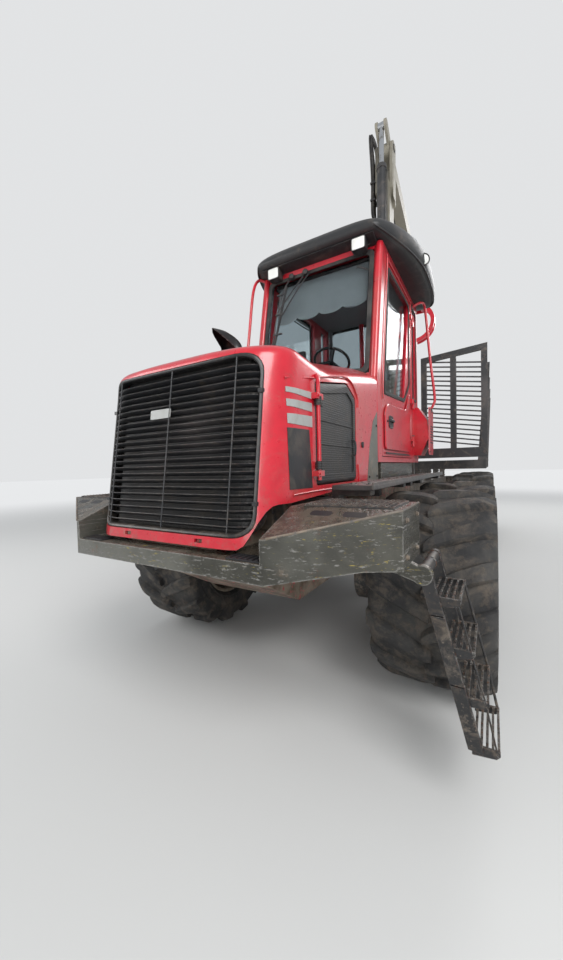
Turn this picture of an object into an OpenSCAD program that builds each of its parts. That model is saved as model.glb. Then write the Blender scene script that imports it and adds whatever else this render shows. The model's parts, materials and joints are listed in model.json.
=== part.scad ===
// Eight-wheeled forestry forwarder with a log crane, millimetres.
// +X is forward, +Y is the machine's left, +Z is up; the origin is on the ground
// between the two bogie pairs. Crane raised, load space empty.

/* [Overall] */
// Width over the tyres
overall_w = 3080; // [3000:10:3200]

/* [Wheels] */
// Tyre diameter over its lugs
tyre_d = 1400; // [1360:10:1410]
// Tyre width
tyre_w = 750; // [700:10:780]
// Height of the tyre lugs
lug_h = 50; // [30:5:60]
// Lugs in each of a tyre's two rows
lug_count = 15; // [12:1:18]
// Rim diameter
rim_d = 690; // [640:10:700]
// Distance between the two wheels of a bogie
bogie_pitch = 1500; // [1480:10:1600]
// Middle of the front bogies, forward of the origin
front_bogie_x = 2900; // [2850:10:2950]
// Middle of the rear bogies, forward of the origin
rear_bogie_x = -2600; // [-2700:10:-2500]
// Thickness of a bogie beam
bogie_t = 180; // [150:5:200]
// Diameter of a wheel spindle
spindle_d = 280; // [240:10:300]

/* [Steering joint] */
// Steering hinge, forward of the origin
steer_x = 1100; // [1080:10:1120]
// Diameter of the steering pin
steer_pin_d = 130; // [100:5:150]
// Thickness of the rear frame's tongue
tongue_t = 260; // [220:10:280]
// Bore of a steering cylinder's barrel
steer_cyl_d = 110; // [90:5:120]

/* [Frames] */
// Top of both frames
frame_top_z = 1240; // [1230:5:1260]
// Width of the front frame under the engine
front_frame_w = 800; // [760:10:820]
// Width of the rear frame
rear_frame_w = 640; // [600:10:700]
// Depth of the rear frame
rear_frame_h = 340; // [300:10:380]
// Height of the walkway plates over the tyres
walk_z = 1450; // [1440:5:1470]
// Thickness of the walkway plates
walk_t = 30; // [15:5:35]

/* [Rear hitch] */
// Rear face, behind the middle of the rear bogies
rear_overhang = 2700; // [2650:10:2800]
// Bore for the tow pin
tow_bore_d = 50; // [30:1:60]
// Tow pin, forward of the rear face
tow_in = 60; // [50:5:60]

/* [Bumper] */
// Underside of the bumper's middle part
bumper_z = 1090; // [1070:5:1100]
// Depth of the bumper's middle part
bumper_mid_h = 90; // [80:5:95]
// Half width of the bumper's middle part
bumper_mid_hw = 690; // [680:5:720]
// Underside of the bumper's wings
wing_z = 1145; // [1130:5:1170]
// Top of the bumper's wings
wing_top_z = 1400; // [1380:5:1402]
// Half width over the bumper's wings
bumper_hw = 1195; // [1180:5:1210]
// How far the bumper stands ahead of the hood
bumper_ahead = 50; // [40:5:80]

/* [Hood] */
// Length of the hood
hood_len = 1830; // [1800:10:1860]
// Underside of the hood's sides
hood_z = 1410; // [1408:2:1420]
// Underside of the apron below the grille
apron_z = 1210; // [1200:5:1220]
// Height of the hood's shoulder at the front
hood_front_z = 2010; // [2000:5:2030]
// Height of the hood's shoulder at the cab
hood_rear_z = 2350; // [2330:5:2370]
// Radius of the hood's front corners
hood_corner_r = 360; // [330:5:360]
// Half width of the hood
hood_hw = 650; // [630:5:660]
// Rise of the hood's crown over its shoulders
hood_crown = 190; // [150:10:210]
// Thickness of the hood's walls
hood_wall = 40; // [25:5:50]
// Number of grille slats
slat_count = 21; // [18:1:23]

/* [Cab] */
// Rear wall of the cab, forward of the steering hinge
cab_ahead = 350; // [340:5:370]
// Length of the cab
cab_len = 1950; // [1930:10:1970]
// Half width of the cab
cab_hw = 650; // [645:5:670]
// Thickness of the cab's walls and door
cab_wall = 60; // [50:5:70]
// Floor of the cab
cab_floor_z = 1620; // [1600:10:1640]
// Top of the cab's walls
cab_top_z = 3660; // [3640:10:3700]
// Top of the roof
roof_z = 4060; // [4030:10:4080]
// Half width of the roof
roof_hw = 920; // [890:10:940]
// Half width of the roof's front edge
roof_front_hw = 640; // [620:10:680]
// Thickness of the panes
glass_t = 8; // [6:1:10]

/* [Load space] */
// Load gate, forward of the origin
gate_x = -100; // [-140:10:-80]
// Half width of the gate
gate_hw = 1450; // [1400:10:1480]
// Underside of the gate
gate_z = 1700; // [1680:10:1720]
// Top of the gate at its corners
gate_top_z = 3520; // [3450:10:3560]
// Top of the bunk beams
bunk_z = 1660; // [1640:10:1680]
// Height of the stakes over the bunk beams
stake_h = 1700; // [1500:20:1800]

/* [Crane] */
// Slewing axis, forward of the origin
crane_x = 500; // [480:10:520]
// Pivot of the main boom, over the ground
boom_pivot_z = 3300; // [3280:10:3320]
// Length of the main boom between its pins
main_len = 3500; // [3480:10:3520]
// Elevation of the main boom at rest
main_angle = 88; // [87:0.5:89]
// Depth of the main boom
main_h = 260; // [240:10:280]
// Width of the main boom
main_w = 200; // [180:10:220]
// Length of the outer boom from its pin to its mouth
outer_len = 2300; // [2200:20:2350]
// Slope of the outer boom at rest, below level
outer_angle = 20; // [18:0.5:22]
// How far the extension shows at rest
ext_out = 350; // [340:10:380]
// Diameter of the boom pins
boom_pin_d = 90; // [80:5:100]

/* [Grapple] */
// Length of the link between the boom tip and the rotator
link_len = 260; // [240:10:280]
// Height of the rotator
rotator_h = 300; // [280:10:320]
// Distance between the claw pins
claw_pitch = 320; // [300:10:340]
// Reach of a claw below its pin
claw_reach = 720; // [680:10:760]

/* [Clearances] */
// Gap between pieces that pass each other
pass_gap = 6; // [5:0.5:8]
// Running fit of a pin in its bore
pin_fit = 0.3; // [0.2:0.05:0.5]

/* [Hidden] */
$fn = 48;

// Colours
red = "#c8102e";
dark = "#2b2d30";
steel_olive = "#6f6f5e";
rubber = "#1c1c1c";
boom_grey = "#8a8574";
chrome = "#c8ccd0";
glass = "#8fb0b8";
lamp_white = "#e8e8e0";

// Places that several pieces share
cab_rear_x = steer_x + cab_ahead;
cab_front_x = cab_rear_x + cab_len;
hood_rear_x = cab_front_x + 20;
hood_front_x = hood_rear_x + hood_len;
front_x = hood_front_x + bumper_ahead;
rear_x = rear_bogie_x - rear_overhang;
tyre_r = tyre_d / 2;
wheel_z = tyre_r;
wheel_y = (overall_w - tyre_w) / 2;
tyre_in_y = wheel_y - tyre_w / 2;
bogie_y = tyre_in_y - 45 - bogie_t / 2;
bogie_out_y = bogie_y + bogie_t / 2;
bogie_in_y = bogie_y - bogie_t / 2;
hub_hole_d = spindle_d + 2 * pin_fit;
bend_proud = 4;
tongue_z = 1060;
tongue_r = 122;
nose_x = hood_front_x - 110;
deck_hw = 540;

// Box between two corners, given as a range on each axis
module block(x, y, z) {
  translate([x[0], y[0], z[0]]) cube([x[1] - x[0], y[1] - y[0], z[1] - z[0]]);
}

// Round bar from point p to point q
module bar(p, q, d) {
  v = q - p;
  flat = norm([v.x, v.y]);
  translate(p) rotate([0, atan2(flat, v.z), flat < 0.001 ? 0 : atan2(v.y, v.x)])
    cylinder(h = norm(v), d = d);
}

// Bent tube through a list of points, with a ball in each bend a little proud of the tube
module tube_run(points, d) {
  for (i = [1 : len(points) - 1]) bar(points[i - 1], points[i], d);
  for (i = [1 : 1 : len(points) - 2]) translate(points[i]) sphere(d = d + bend_proud);
}

// Round bar along Y, centred on a point of the side view
module pin_y(x, z, y0, y1, d) {
  translate([x, y0, z]) rotate([-90, 0, 0]) cylinder(h = y1 - y0, d = d);
}

// Upright round bar
module pin_z(x, y, z0, z1, d) {
  translate([x, y, z0]) cylinder(h = z1 - z0, d = d);
}

// Side view outline, in x and z, spread between two places across the machine
module side_slab(y0, y1) {
  translate([0, y1, 0]) rotate([90, 0, 0]) linear_extrude(y1 - y0) children();
}

// Front view outline, in y and z, spread along x
module front_slab(x0, x1) {
  translate([x0, 0, 0]) rotate([90, 0, 90]) linear_extrude(x1 - x0) children();
}

// Plan view outline, in x and y, raised between two heights
module plan_slab(z0, z1) {
  translate([0, 0, z0]) linear_extrude(z1 - z0) children();
}

// The same shape on the left and on the right
module both_sides() {
  children();
  mirror([0, 1, 0]) children();
}

// Plain or mirrored, for side 1 (left) or -1 (right)
module on_side(side) {
  if (side > 0) children();
  else mirror([0, 1, 0]) children();
}

// Rounded rectangle in plan, from true arcs
module round_rect(x0, x1, hw, r) {
  translate([x0, -hw + r]) square([x1 - x0, 2 * (hw - r)]);
  translate([x0 + r, -hw]) square([x1 - x0 - 2 * r, 2 * hw]);
  for (x = [x0 + r, x1 - r], y = [-hw + r, hw - r]) translate([x, y]) circle(r);
}

// Convex outline, listed anticlockwise, moved inwards by d
function edge_dir(p, i) = let (v = p[(i + 1) % len(p)] - p[i]) v / norm(v);
function inset(p, d) = [for (i = [0 : len(p) - 1])
  let (a = edge_dir(p, (i + len(p) - 1) % len(p)), b = edge_dir(p, i),
       na = [-a.y, a.x], nb = [-b.y, b.x])
  p[i] + d * (na + nb) / (1 + na * nb)];

// Wheels
lug_lead = 95;
lug_foot = 100;
lug_top = sqrt(pow(tyre_r, 2) - pow(lug_lead + lug_foot / 2, 2));
carcass_r = tyre_r - lug_h;
rim_r = rim_d / 2;
hub_r = 190;
disc_a = 60;

// One lug: leaves the middle line at a slant, its heavy end over the shoulder
module lug() {
  rotate([0, 90, 0]) translate([0, 0, carcass_r - 70]) linear_extrude(lug_top - carcass_r + 70)
    polygon([[25, -lug_lead - 30], [25, -lug_lead + 35],
             [12 - tyre_w / 2, lug_lead + lug_foot / 2], [12 - tyre_w / 2, lug_lead - lug_foot / 2]]);
}

// Wheel about its own Z axis, outer side up
module wheel_solid() {
  hw = tyre_w / 2;
  difference() {
    union() {
      rotate_extrude() polygon([
        [rim_r - 30, 40 - hw], [rim_r + 30, -hw + 12], [carcass_r - 150, -hw], [carcass_r - 60, -hw + 25],
        [carcass_r, -hw + 110], [carcass_r, hw - 110], [carcass_r - 60, hw - 25],
        [carcass_r - 150, hw], [rim_r + 30, hw - 12], [rim_r - 30, hw - 40]]);
      for (i = [0 : lug_count - 1]) {
        rotate((i - 0.25) * 360 / lug_count) lug();
        rotate((i + 0.25) * 360 / lug_count) mirror([0, 0, 1]) lug();
      }
      cylinder(h = disc_a, r = rim_r);
      translate([0, 0, 45 - hw]) cylinder(h = hw, r = hub_r);
      cylinder(h = disc_a + 90, r = hub_r - 30);
    }
    translate([0, 0, 30 - hw]) cylinder(h = hw - 30 - pass_gap, d = hub_hole_d);
  }
}

module wheel(x, side) {
  color(rubber) on_side(side) translate([x, wheel_y, wheel_z]) rotate([-90, 0, 0]) wheel_solid();
}

// Bogies
module bogie(x, side) {
  color(dark) on_side(side) {
    side_slab(bogie_in_y, bogie_out_y) {
      for (s = [-1, 1]) translate([x + s * bogie_pitch / 2, wheel_z]) circle(200);
      translate([x, wheel_z + 60]) circle(270);
      polygon([[x - bogie_pitch / 2, wheel_z - 200], [x + bogie_pitch / 2, wheel_z - 200],
               [x + bogie_pitch / 2, wheel_z + 200], [x + 200, wheel_z + 240],
               [x - 200, wheel_z + 240], [x - bogie_pitch / 2, wheel_z + 200]]);
    }
    for (s = [-1, 1]) pin_y(x + s * bogie_pitch / 2, wheel_z, bogie_out_y, wheel_y - 2 * pass_gap, spindle_d);
  }
}

// Front frame
module front_frame() {
  hw = front_frame_w / 2;
  neck_hw = 180;
  fork_lo = tongue_z - tongue_t / 2 - pass_gap;
  fork_hi = tongue_z + tongue_t / 2 + pass_gap;
  neck_x = front_bogie_x - 750;
  belly_z = 700;
  color(red) {
    side_slab(-hw, hw) polygon([[neck_x, belly_z + 60], [neck_x + 100, belly_z], [4450, belly_z],
      [nose_x, bumper_z - 20], [nose_x, frame_top_z], [neck_x, frame_top_z]]);
    // Nose beam, set back so that the hood's lower edge swings clear of it, with a hinge knuckle on each side
    block([nose_x - 60, nose_x + 40], [-nose_hw, nose_hw], [bumper_z + bumper_mid_h, mouth_z[0] - pass_gap]);
    both_sides() {
      pin_y(hood_hinge.x, hood_hinge.y, knuckle_y + pin_fit, knuckle_y + knuckle_w, knuckle_d);
      block([nose_x + 35, hood_hinge.x], [knuckle_y + pin_fit, knuckle_y + knuckle_w],
            [hood_hinge.y - knuckle_d / 2 + 4, hood_hinge.y + knuckle_d / 2 - 4]);
      pin_y(hood_hinge.x, hood_hinge.y, knuckle_y - knuckle_w, knuckle_y + knuckle_w, knuckle_pin_d);
    }
    block([steer_x + 400, neck_x], [-neck_hw, neck_hw], [belly_z + 100, frame_top_z]);
    difference() {
      for (z = [[fork_lo - 60, fork_lo], [fork_hi, fork_hi + 60]]) plan_slab(z[0], z[1]) {
        translate([steer_x, 0]) circle(190);
        translate([steer_x, -190]) square([450, 380]);
      }
      pin_z(steer_x, 0, belly_z, frame_top_z + 100, steer_pin_d);
    }
    pin_z(steer_x, 0, fork_lo - 90, fork_hi + 90, steer_pin_d);
    both_sides() {
      pin_y(front_bogie_x, wheel_z + 60, hw, bogie_in_y, 320);
      steer_barrel_lugs();
    }
    // Deck that carries the cab and the walkways
    block([cab_rear_x - 30, cab_front_x], [-deck_hw, deck_hw], [frame_top_z, cab_floor_z - foot_h]);
    both_sides() block([cab_front_x + 100, hatch_x[1]], [hw - 80, hw], [frame_top_z, hood_z + 20]);
  }
}

// Steering cylinders: barrel on the front frame, rod on the rear frame
steer_barrel_at = [steer_x + 900, 410];
steer_rod_at = [steer_x - 450, 410];
steer_eye_h = 80;
steer_pin_r = 30;

module steer_barrel_lugs() {
  for (z = [-1, 1]) plan_slab(tongue_z + z * (steer_eye_h / 2 + 15 + pin_fit) - 15,
                              tongue_z + z * (steer_eye_h / 2 + 15 + pin_fit) + 15) {
    translate(steer_barrel_at) circle(60);
    translate([steer_barrel_at.x - 60, 150]) square([120, steer_barrel_at.y - 150]);
  }
  pin_z(steer_barrel_at.x, steer_barrel_at.y, tongue_z - steer_eye_h / 2 - 20, tongue_z + steer_eye_h / 2 + 20,
        2 * steer_pin_r);
}

module steer_barrel(side) {
  color(dark) on_side(side) difference() {
    union() {
      pin_z(steer_barrel_at.x, steer_barrel_at.y, tongue_z - steer_eye_h / 2, tongue_z + steer_eye_h / 2, 110);
      translate([steer_barrel_at.x, steer_barrel_at.y, tongue_z]) rotate([0, -90, 0])
        cylinder(h = 100, d = steer_eye_h - 6);
      translate([steer_barrel_at.x - 75, steer_barrel_at.y, tongue_z]) rotate([0, -90, 0])
        cylinder(h = 645, d = steer_cyl_d);
    }
    pin_z(steer_barrel_at.x, steer_barrel_at.y, tongue_z - 100, tongue_z + 100, 2 * (steer_pin_r + pin_fit));
    translate([steer_barrel_at.x - 100, steer_barrel_at.y, tongue_z]) rotate([0, -90, 0])
      cylinder(h = 800, d = steer_cyl_d / 2 + 2 * pin_fit);
  }
}

module steer_rod(side) {
  color(chrome) on_side(side) {
    translate([steer_rod_at.x, steer_rod_at.y, tongue_z]) rotate([0, 90, 0])
      cylinder(h = steer_barrel_at.x - steer_rod_at.x - 480, d = steer_cyl_d / 2);
    pin_z(steer_rod_at.x, steer_rod_at.y, tongue_z - steer_eye_h / 2, tongue_z + steer_eye_h / 2, 110);
  }
}

// Bumper: a shallow middle beam and a deep swept wing on each side
wing_x = front_x - 280;
wing_back_x = front_x - 650;
wing_nose_top_z = wing_top_z - 115;
wing_in_y = hood_hw + 20;

module bumper() {
  color(steel_olive) {
    plan_slab(bumper_z, bumper_z + bumper_mid_h)
      polygon([[front_x, -bumper_mid_hw], [front_x, bumper_mid_hw], [nose_x, bumper_mid_hw + 60],
               [nose_x, -bumper_mid_hw - 60]]);
    both_sides() intersection() {
      plan_slab(bumper_z - 5, wing_top_z + 5)
        polygon([[front_x, bumper_mid_hw - 20], [front_x, bumper_mid_hw], [wing_x, bumper_hw], [wing_back_x, bumper_hw],
                 [wing_back_x, wing_in_y], [front_x - 80, wing_in_y]]);
      side_slab(wing_in_y - 5, bumper_hw + 5)
        polygon([[wing_back_x - 5, wing_z], [wing_x + 80, wing_z], [front_x + 5, bumper_z], [front_x + 5, wing_nose_top_z],
                 [wing_x, wing_top_z], [wing_back_x - 5, wing_top_z]]);
    }
    both_sides() block([wing_back_x + 60, nose_x], [front_frame_w / 2, wing_in_y + 30], [bumper_z, bumper_z + bumper_mid_h]);
    // Lug under the left wing and the pin that carries the ladder
    front_slab(ladder_x + ladder_w / 2 + 30, ladder_x + ladder_w / 2 + 60) {
      translate(ladder_pin) circle(45);
      polygon([[bumper_hw - 120, wing_z + 5], [bumper_hw - 5, wing_z + 5], [ladder_pin.x + 40, ladder_pin.y + 10],
               [ladder_pin.x - 20, ladder_pin.y - 35], [bumper_hw - 90, ladder_pin.y]]);
    }
    bar([ladder_x + ladder_w / 2 + 45, ladder_pin.x, ladder_pin.y], [ladder_x - ladder_w / 2 - 40, ladder_pin.x, ladder_pin.y],
        ladder_pin_d);
  }
}

// Engine and cooler, closed in under the hood
module engine_block() {
  color("#4a4f52") block([hood_rear_x + 140, hood_rear_x + 1140], [-310, 310], [frame_top_z, hood_front_z + 60]);
}

module radiator() {
  color("#3a3a3a") block([hood_front_x - 500, hood_front_x - 380], [-470, 470], [frame_top_z, hood_front_z - 30]);
}

// Boxes on the deck's edges, under the sides of the cab
module side_boxes() {
  color(steel_olive) both_sides()
    block([cab_rear_x + 430, cab_front_x - 110], [deck_hw - 35, cab_hw - 5], [cab_floor_z - foot_h, cab_floor_z - pass_gap]);
}

// Walkway plates over the front tyres, on brackets from the deck
module walkway(side) {
  plate_y = 960;
  color(dark) on_side(side) {
    block([cab_rear_x + 70, wing_back_x - 20], [hood_hw + 70, plate_y], [walk_z, walk_z + walk_t]);
    for (x = [cab_rear_x + 150, front_bogie_x, cab_front_x - 40])
      block([x - 40, x + 40], [deck_hw, plate_y - 40], [walk_z - 40, walk_z]);
    // Cranked brackets that pass under the hood
    for (x = [hood_rear_x + 220, hood_rear_x + 1080]) {
      block([x - 40, x + 40], [front_frame_w / 2, hood_hw + 80], [hood_z - 70, hood_z - pass_gap]);
      block([x - 40, x + 40], [hood_hw + 30, hood_hw + 80], [hood_z - 70, walk_z]);
      block([x - 40, x + 40], [hood_hw + 30, plate_y - 40], [walk_z - 35, walk_z]);
    }
  }
}

// Hood: crowned and tapered shell with a leaning nose, open below and in front
grille_lean = 110;
hood_crown_r = (pow(hood_hw, 2) + pow(hood_crown, 2)) / (2 * hood_crown);
hood_slope = atan((hood_rear_z - hood_front_z) / (hood_front_x - grille_lean - hood_rear_x));
nose_lean = atan(grille_lean / (hood_front_z - apron_z));
crown_back = 200;
crown_axis_z = hood_rear_z + hood_crown + crown_back * tan(hood_slope) - hood_crown_r / cos(hood_slope);

// Hood hinge, in x and z, and its knuckles
knuckle_y = 250;
knuckle_w = 40;
knuckle_d = 44;
knuckle_pin_d = 24;
hood_hinge = [hood_front_x - knuckle_d / 2 - 14, apron_z + 24];
nose_hw = hood_hw - hood_corner_r + 40;

// Mouth of the hood, in y and z, with rounded corners
mouth_hw = hood_hw - 120;
mouth_z = [apron_z + 60, hood_front_z + 90];
mouth_r = 120;

module mouth_outline(g) {
  hw = mouth_hw - g;
  r = mouth_r - g;
  translate([-hw, mouth_z[0] + mouth_r]) square([2 * hw, mouth_z[1] - mouth_z[0] - 2 * mouth_r]);
  translate([r - hw, mouth_z[0] + g]) square([2 * (hw - r), mouth_z[1] - mouth_z[0] - 2 * g]);
  for (y = [r - hw, hw - r], z = [mouth_z[0] + mouth_r, mouth_z[1] - mouth_r]) translate([y, z]) circle(r);
}

// Plan of the hood behind its leaning nose, each front corner in flat facets, moved inwards by d
corner_facets = 5;
nose_run = 3200;

function nose_corner(d, side) = [for (i = [0 : corner_facets])
  let (a = 90 * (side > 0 ? i : i - corner_facets) / corner_facets, r = hood_corner_r - d)
  [r * cos(a) - hood_corner_r, side * (hood_hw - hood_corner_r) + r * sin(a)]];

module nose_prism(d) {
  translate([hood_front_x, 0, apron_z]) rotate([0, -nose_lean, 0]) translate([0, 0, -200]) linear_extrude(2600)
    polygon(concat([[-nose_run, d - hood_hw]], nose_corner(d, -1), nose_corner(d, 1), [[-nose_run, hood_hw - d]]));
}

module hood_solid(d) {
  hw = hood_hw - d;
  rear_x0 = hood_rear_x - (d > 0 ? 10 : 0);
  side_z = d > 0 ? apron_z - 5 : hood_z;
  front_z = d > 0 ? apron_z - 5 : apron_z;
  intersection() {
    side_slab(-hw, hw) polygon([[rear_x0, side_z], [hood_front_x - 150, side_z], [hood_front_x - 60, front_z],
      [hood_front_x + 50, front_z], [hood_front_x + 50, hood_front_z + hood_crown - 150 - d],
      [hood_front_x - grille_lean - 180, hood_front_z + hood_crown + 40 - d],
      [rear_x0, hood_rear_z + hood_crown + 5 - d]]);
    union() {
      translate([hood_rear_x - crown_back, 0, crown_axis_z])
        rotate([0, 90 + hood_slope, 0]) cylinder(h = 2200, r = hood_crown_r - d, $fn = 96);
      block([rear_x0 - 5, hood_front_x + 60], [-hw, hw], [apron_z - 10, hood_front_z - 120]);
    }
    nose_prism(d);
  }
}

// Hatch opening in each side of the hood
hatch_x = [hood_front_x - 1260, hood_front_x - 570];
hatch_z = [hood_z + 70, hood_front_z + 150];
hatch_cut = [180, 80];
hatch_rise = 90;
hatch_pin = [hatch_x[1] + 14, hood_hw + 26];
hatch_pin_d = 24;

module hatch_outline(g) {
  polygon([[hatch_x[0] + g, hatch_z[0] + g], [hatch_x[1] - g, hatch_z[0] + g], [hatch_x[1] - g, hatch_z[1] - hatch_rise - g],
           [hatch_x[0] + hatch_cut.x + g, hatch_z[1] - g], [hatch_x[0] + g, hatch_z[1] - hatch_cut.y - g]]);
}

module hood_shell() {
  color(red) {
    difference() {
      hood_solid(0);
      hood_solid(hood_wall);
      // Mouth that the grille closes
      front_slab(hood_front_x - 350, hood_front_x + 60) mouth_outline(0);
      both_sides() {
        pin_y(hood_hinge.x, hood_hinge.y, knuckle_y - knuckle_w, knuckle_y, knuckle_pin_d + 2 * pin_fit);
        pin_y(hood_hinge.x, hood_hinge.y, knuckle_y, knuckle_y + knuckle_w + 5, knuckle_d + 2 * pass_gap);
      }
      side_slab(-hood_hw - 5, hood_hw + 5) hatch_outline(0);
      pin_z(exhaust_at.x, exhaust_at.y, hood_rear_z - 200, hood_rear_z + 200, exhaust_d + 2 * pin_fit);
    }
    both_sides() difference() {
      pin_y(hood_hinge.x, hood_hinge.y, knuckle_y - knuckle_w, knuckle_y, knuckle_d);
      pin_y(hood_hinge.x, hood_hinge.y, knuckle_y - knuckle_w - 5, knuckle_y + 5, knuckle_pin_d + 2 * pin_fit);
    }
    // Hinge rods of the hatches
    both_sides() pin_z(hatch_pin.x, hatch_pin.y, hatch_z[0] + 30, hatch_z[1] - hatch_rise - 30, hatch_pin_d);
    both_sides() for (z = [hatch_z[0] + 30, hatch_z[1] - hatch_rise - 70])
      block([hatch_pin.x - 12, hatch_pin.x + 50], [hood_hw - 5, hatch_pin.y + 10], [z, z + 40]);
  }
}

module hatch(side) {
  color(dark) on_side(side) {
    side_slab(hood_hw - hood_wall + 5, hood_hw) hatch_outline(pass_gap);
    difference() {
      for (z = [hatch_z[0] + 90, hatch_z[1] - hatch_rise - 140]) {
        pin_z(hatch_pin.x, hatch_pin.y, z, z + 50, 40);
        block([hatch_pin.x - 84, hatch_pin.x], [hood_hw + pass_gap, hatch_pin.y], [z, z + 50]);
        block([hatch_pin.x - 84, hatch_x[1] - pass_gap], [hood_hw - 5, hood_hw + pass_gap + 1], [z, z + 50]);
      }
      pin_z(hatch_pin.x, hatch_pin.y, hatch_z[0], hatch_z[1], hatch_pin_d + 2 * pin_fit);
    }
  }
}

// Grille: level slats behind upright bars, in a rounded frame, bowed with the nose
slat_t = 14;
grille_bars = [-430, 0, 430];

// Layer of the nose between two depths
module nose_layer(d0, d1) {
  difference() {
    nose_prism(d0);
    nose_prism(d1);
  }
}

module grille() {
  pitch = (mouth_z[1] - mouth_z[0] - 60) / slat_count;
  color(dark) {
    intersection() {
      nose_layer(10, 90);
      front_slab(hood_front_x - 350, hood_front_x + 20) difference() {
        mouth_outline(0);
        mouth_outline(32);
      }
    }
    intersection() {
      nose_layer(26, 80);
      front_slab(hood_front_x - 350, hood_front_x + 20) intersection() {
        mouth_outline(5);
        for (i = [0 : slat_count - 1]) translate([-mouth_hw, mouth_z[0] + 40 + i * pitch]) square([2 * mouth_hw, slat_t]);
      }
    }
    intersection() {
      nose_layer(14, 70);
      front_slab(hood_front_x - 350, hood_front_x + 20) for (y = grille_bars)
        translate([y - 7, mouth_z[0] + 20]) square([14, mouth_z[1] - mouth_z[0] - 40]);
    }
  }
}

// Exhaust: a pipe through the hood with a slanted end
exhaust_at = [front_x - 1230, -430];
exhaust_d = 150;

module exhaust_stack() {
  z = hood_rear_z + 200;
  color(dark) {
    pin_z(exhaust_at.x, exhaust_at.y, hood_rear_z - 160, z, exhaust_d);
    translate([exhaust_at.x, exhaust_at.y, z]) sphere(d = exhaust_d + bend_proud);
    bar([exhaust_at.x, exhaust_at.y, z], [exhaust_at.x + 60, exhaust_at.y - 100, z + 170], exhaust_d - 10);
  }
}

// Cab: side outline, anticlockwise seen with x to the right and z up
screen_top_x = cab_front_x - 250;
sill_z = cab_floor_z + 720;
foot_h = 160;
cab_outline = [[cab_rear_x, cab_floor_z], [cab_front_x, cab_floor_z], [cab_front_x, sill_z + 60],
               [screen_top_x, cab_top_z], [cab_rear_x + 60, cab_top_z]];
door_x = [cab_rear_x + 450, cab_front_x - 130];
door_z = [cab_floor_z + 50, cab_top_z - 60];
quarter_hw = cab_hw + 190;
glass_in = 20;

module cab_shell(d) {
  side_slab(-cab_hw + d, cab_hw - d) polygon(inset(cab_outline, d));
}

// Doorway in the left wall: its front edge follows the leaning pillar
module door_cut(g) {
  side_slab(cab_hw - cab_wall - 20, cab_hw + 20) polygon([[door_x[0] + g, door_z[0] + g], [door_x[1] - g, door_z[0] + g],
    [door_x[1] - g, sill_z + 60], [door_x[1] - 230 - g, door_z[1] - g], [door_x[0] + g, door_z[1] - g]]);
}

module door_window_cut() {
  side_slab(cab_hw - cab_wall - 20, cab_hw + 20) polygon([[door_x[0] + 420, sill_z - 40], [door_x[1] - 80, sill_z - 90],
    [door_x[1] - 80, sill_z + 70], [door_x[1] - 290, door_z[1] - 90], [door_x[0] + 120, door_z[1] - 90]]);
}

module wall_window_cuts() {
  // Windscreen
  block([screen_top_x - cab_wall - 60, cab_front_x + 20], [-cab_hw + 75, cab_hw - 75], [sill_z + 75, cab_top_z - 50]);
  // Rear window
  block([cab_rear_x - 20, cab_rear_x + cab_wall + 90], [-cab_hw + 90, cab_hw - 90], [sill_z - 60, cab_top_z - 70]);
  // Right side window
  side_slab(-cab_hw - 20, -cab_hw + cab_wall + 20) polygon([[door_x[0] + 120, sill_z], [door_x[1] - 40, sill_z],
    [door_x[1] - 80, sill_z + 70], [door_x[1] - 290, cab_top_z - 110], [door_x[0] + 120, cab_top_z - 110]]);
  // Narrow windows behind the doorway, on both sides
  both_sides() side_slab(cab_hw - cab_wall - 20, cab_hw + 20) polygon([[cab_rear_x + 130, sill_z + 60],
    [door_x[0] - 90, sill_z + 60], [door_x[0] - 90, cab_top_z - 110], [cab_rear_x + 160, cab_top_z - 110]]);
}

module cab_body() {
  color(red) {
    difference() {
      cab_shell(0);
      difference() {
        cab_shell(cab_wall);
        block([cab_rear_x, cab_front_x], [-cab_hw, cab_hw], [cab_floor_z, cab_floor_z + cab_wall]);
      }
      block([cab_rear_x + 160, screen_top_x - 110], [-cab_hw + 110, cab_hw - 110], [cab_top_z - cab_wall - 20, cab_top_z + 5]);
      door_cut(0);
      wall_window_cuts();
    }
    // Feet on the deck
    for (x = [cab_rear_x + 50, cab_front_x - 220]) block([x, x + 160], [-500, 500], [cab_floor_z - foot_h, cab_floor_z]);
    // Bulging quarter panel behind the doorway
    both_sides() intersection() {
      side_slab(cab_hw - 5, quarter_hw) polygon([[cab_rear_x, cab_floor_z + 90], [cab_rear_x + 300, cab_floor_z + 90],
        [cab_rear_x + 370, cab_floor_z + 260], [cab_rear_x + 330, sill_z - 30], [cab_rear_x + 60, sill_z - 30],
        [cab_rear_x, sill_z - 150]]);
      front_slab(cab_rear_x - 5, cab_rear_x + 400) polygon([[cab_hw - 10, cab_floor_z + 40], [cab_hw + 80, cab_floor_z + 85],
        [quarter_hw, cab_floor_z + 300], [quarter_hw - 20, cab_floor_z + 520], [cab_hw + 40, sill_z], [cab_hw - 10, sill_z + 5]]);
    }
    // Hinge knuckles for the door
    for (z = door_hinges) {
      pin_z(hinge_x, hinge_y, z - 60, z - pin_fit, 28);
      block([hinge_x - 70, hinge_x], [cab_hw - 4, hinge_y + 6], [z - 60, z - pin_fit]);
    }
  }
}

hinge_x = door_x[0];
hinge_y = cab_hw + 20;
door_hinges = [cab_floor_z + 260, sill_z, cab_top_z - 300];

module cab_door() {
  color(red) {
    difference() {
      intersection() {
        difference() {
          cab_shell(0);
          cab_shell(cab_wall);
        }
        door_cut(pass_gap);
      }
      door_window_cut();
    }
    for (z = door_hinges) {
      pin_z(hinge_x, hinge_y, z, z + 60, 28);
      block([hinge_x, hinge_x + 70], [cab_hw - 4, hinge_y + 6], [z, z + 60]);
    }
  }
}

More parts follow.
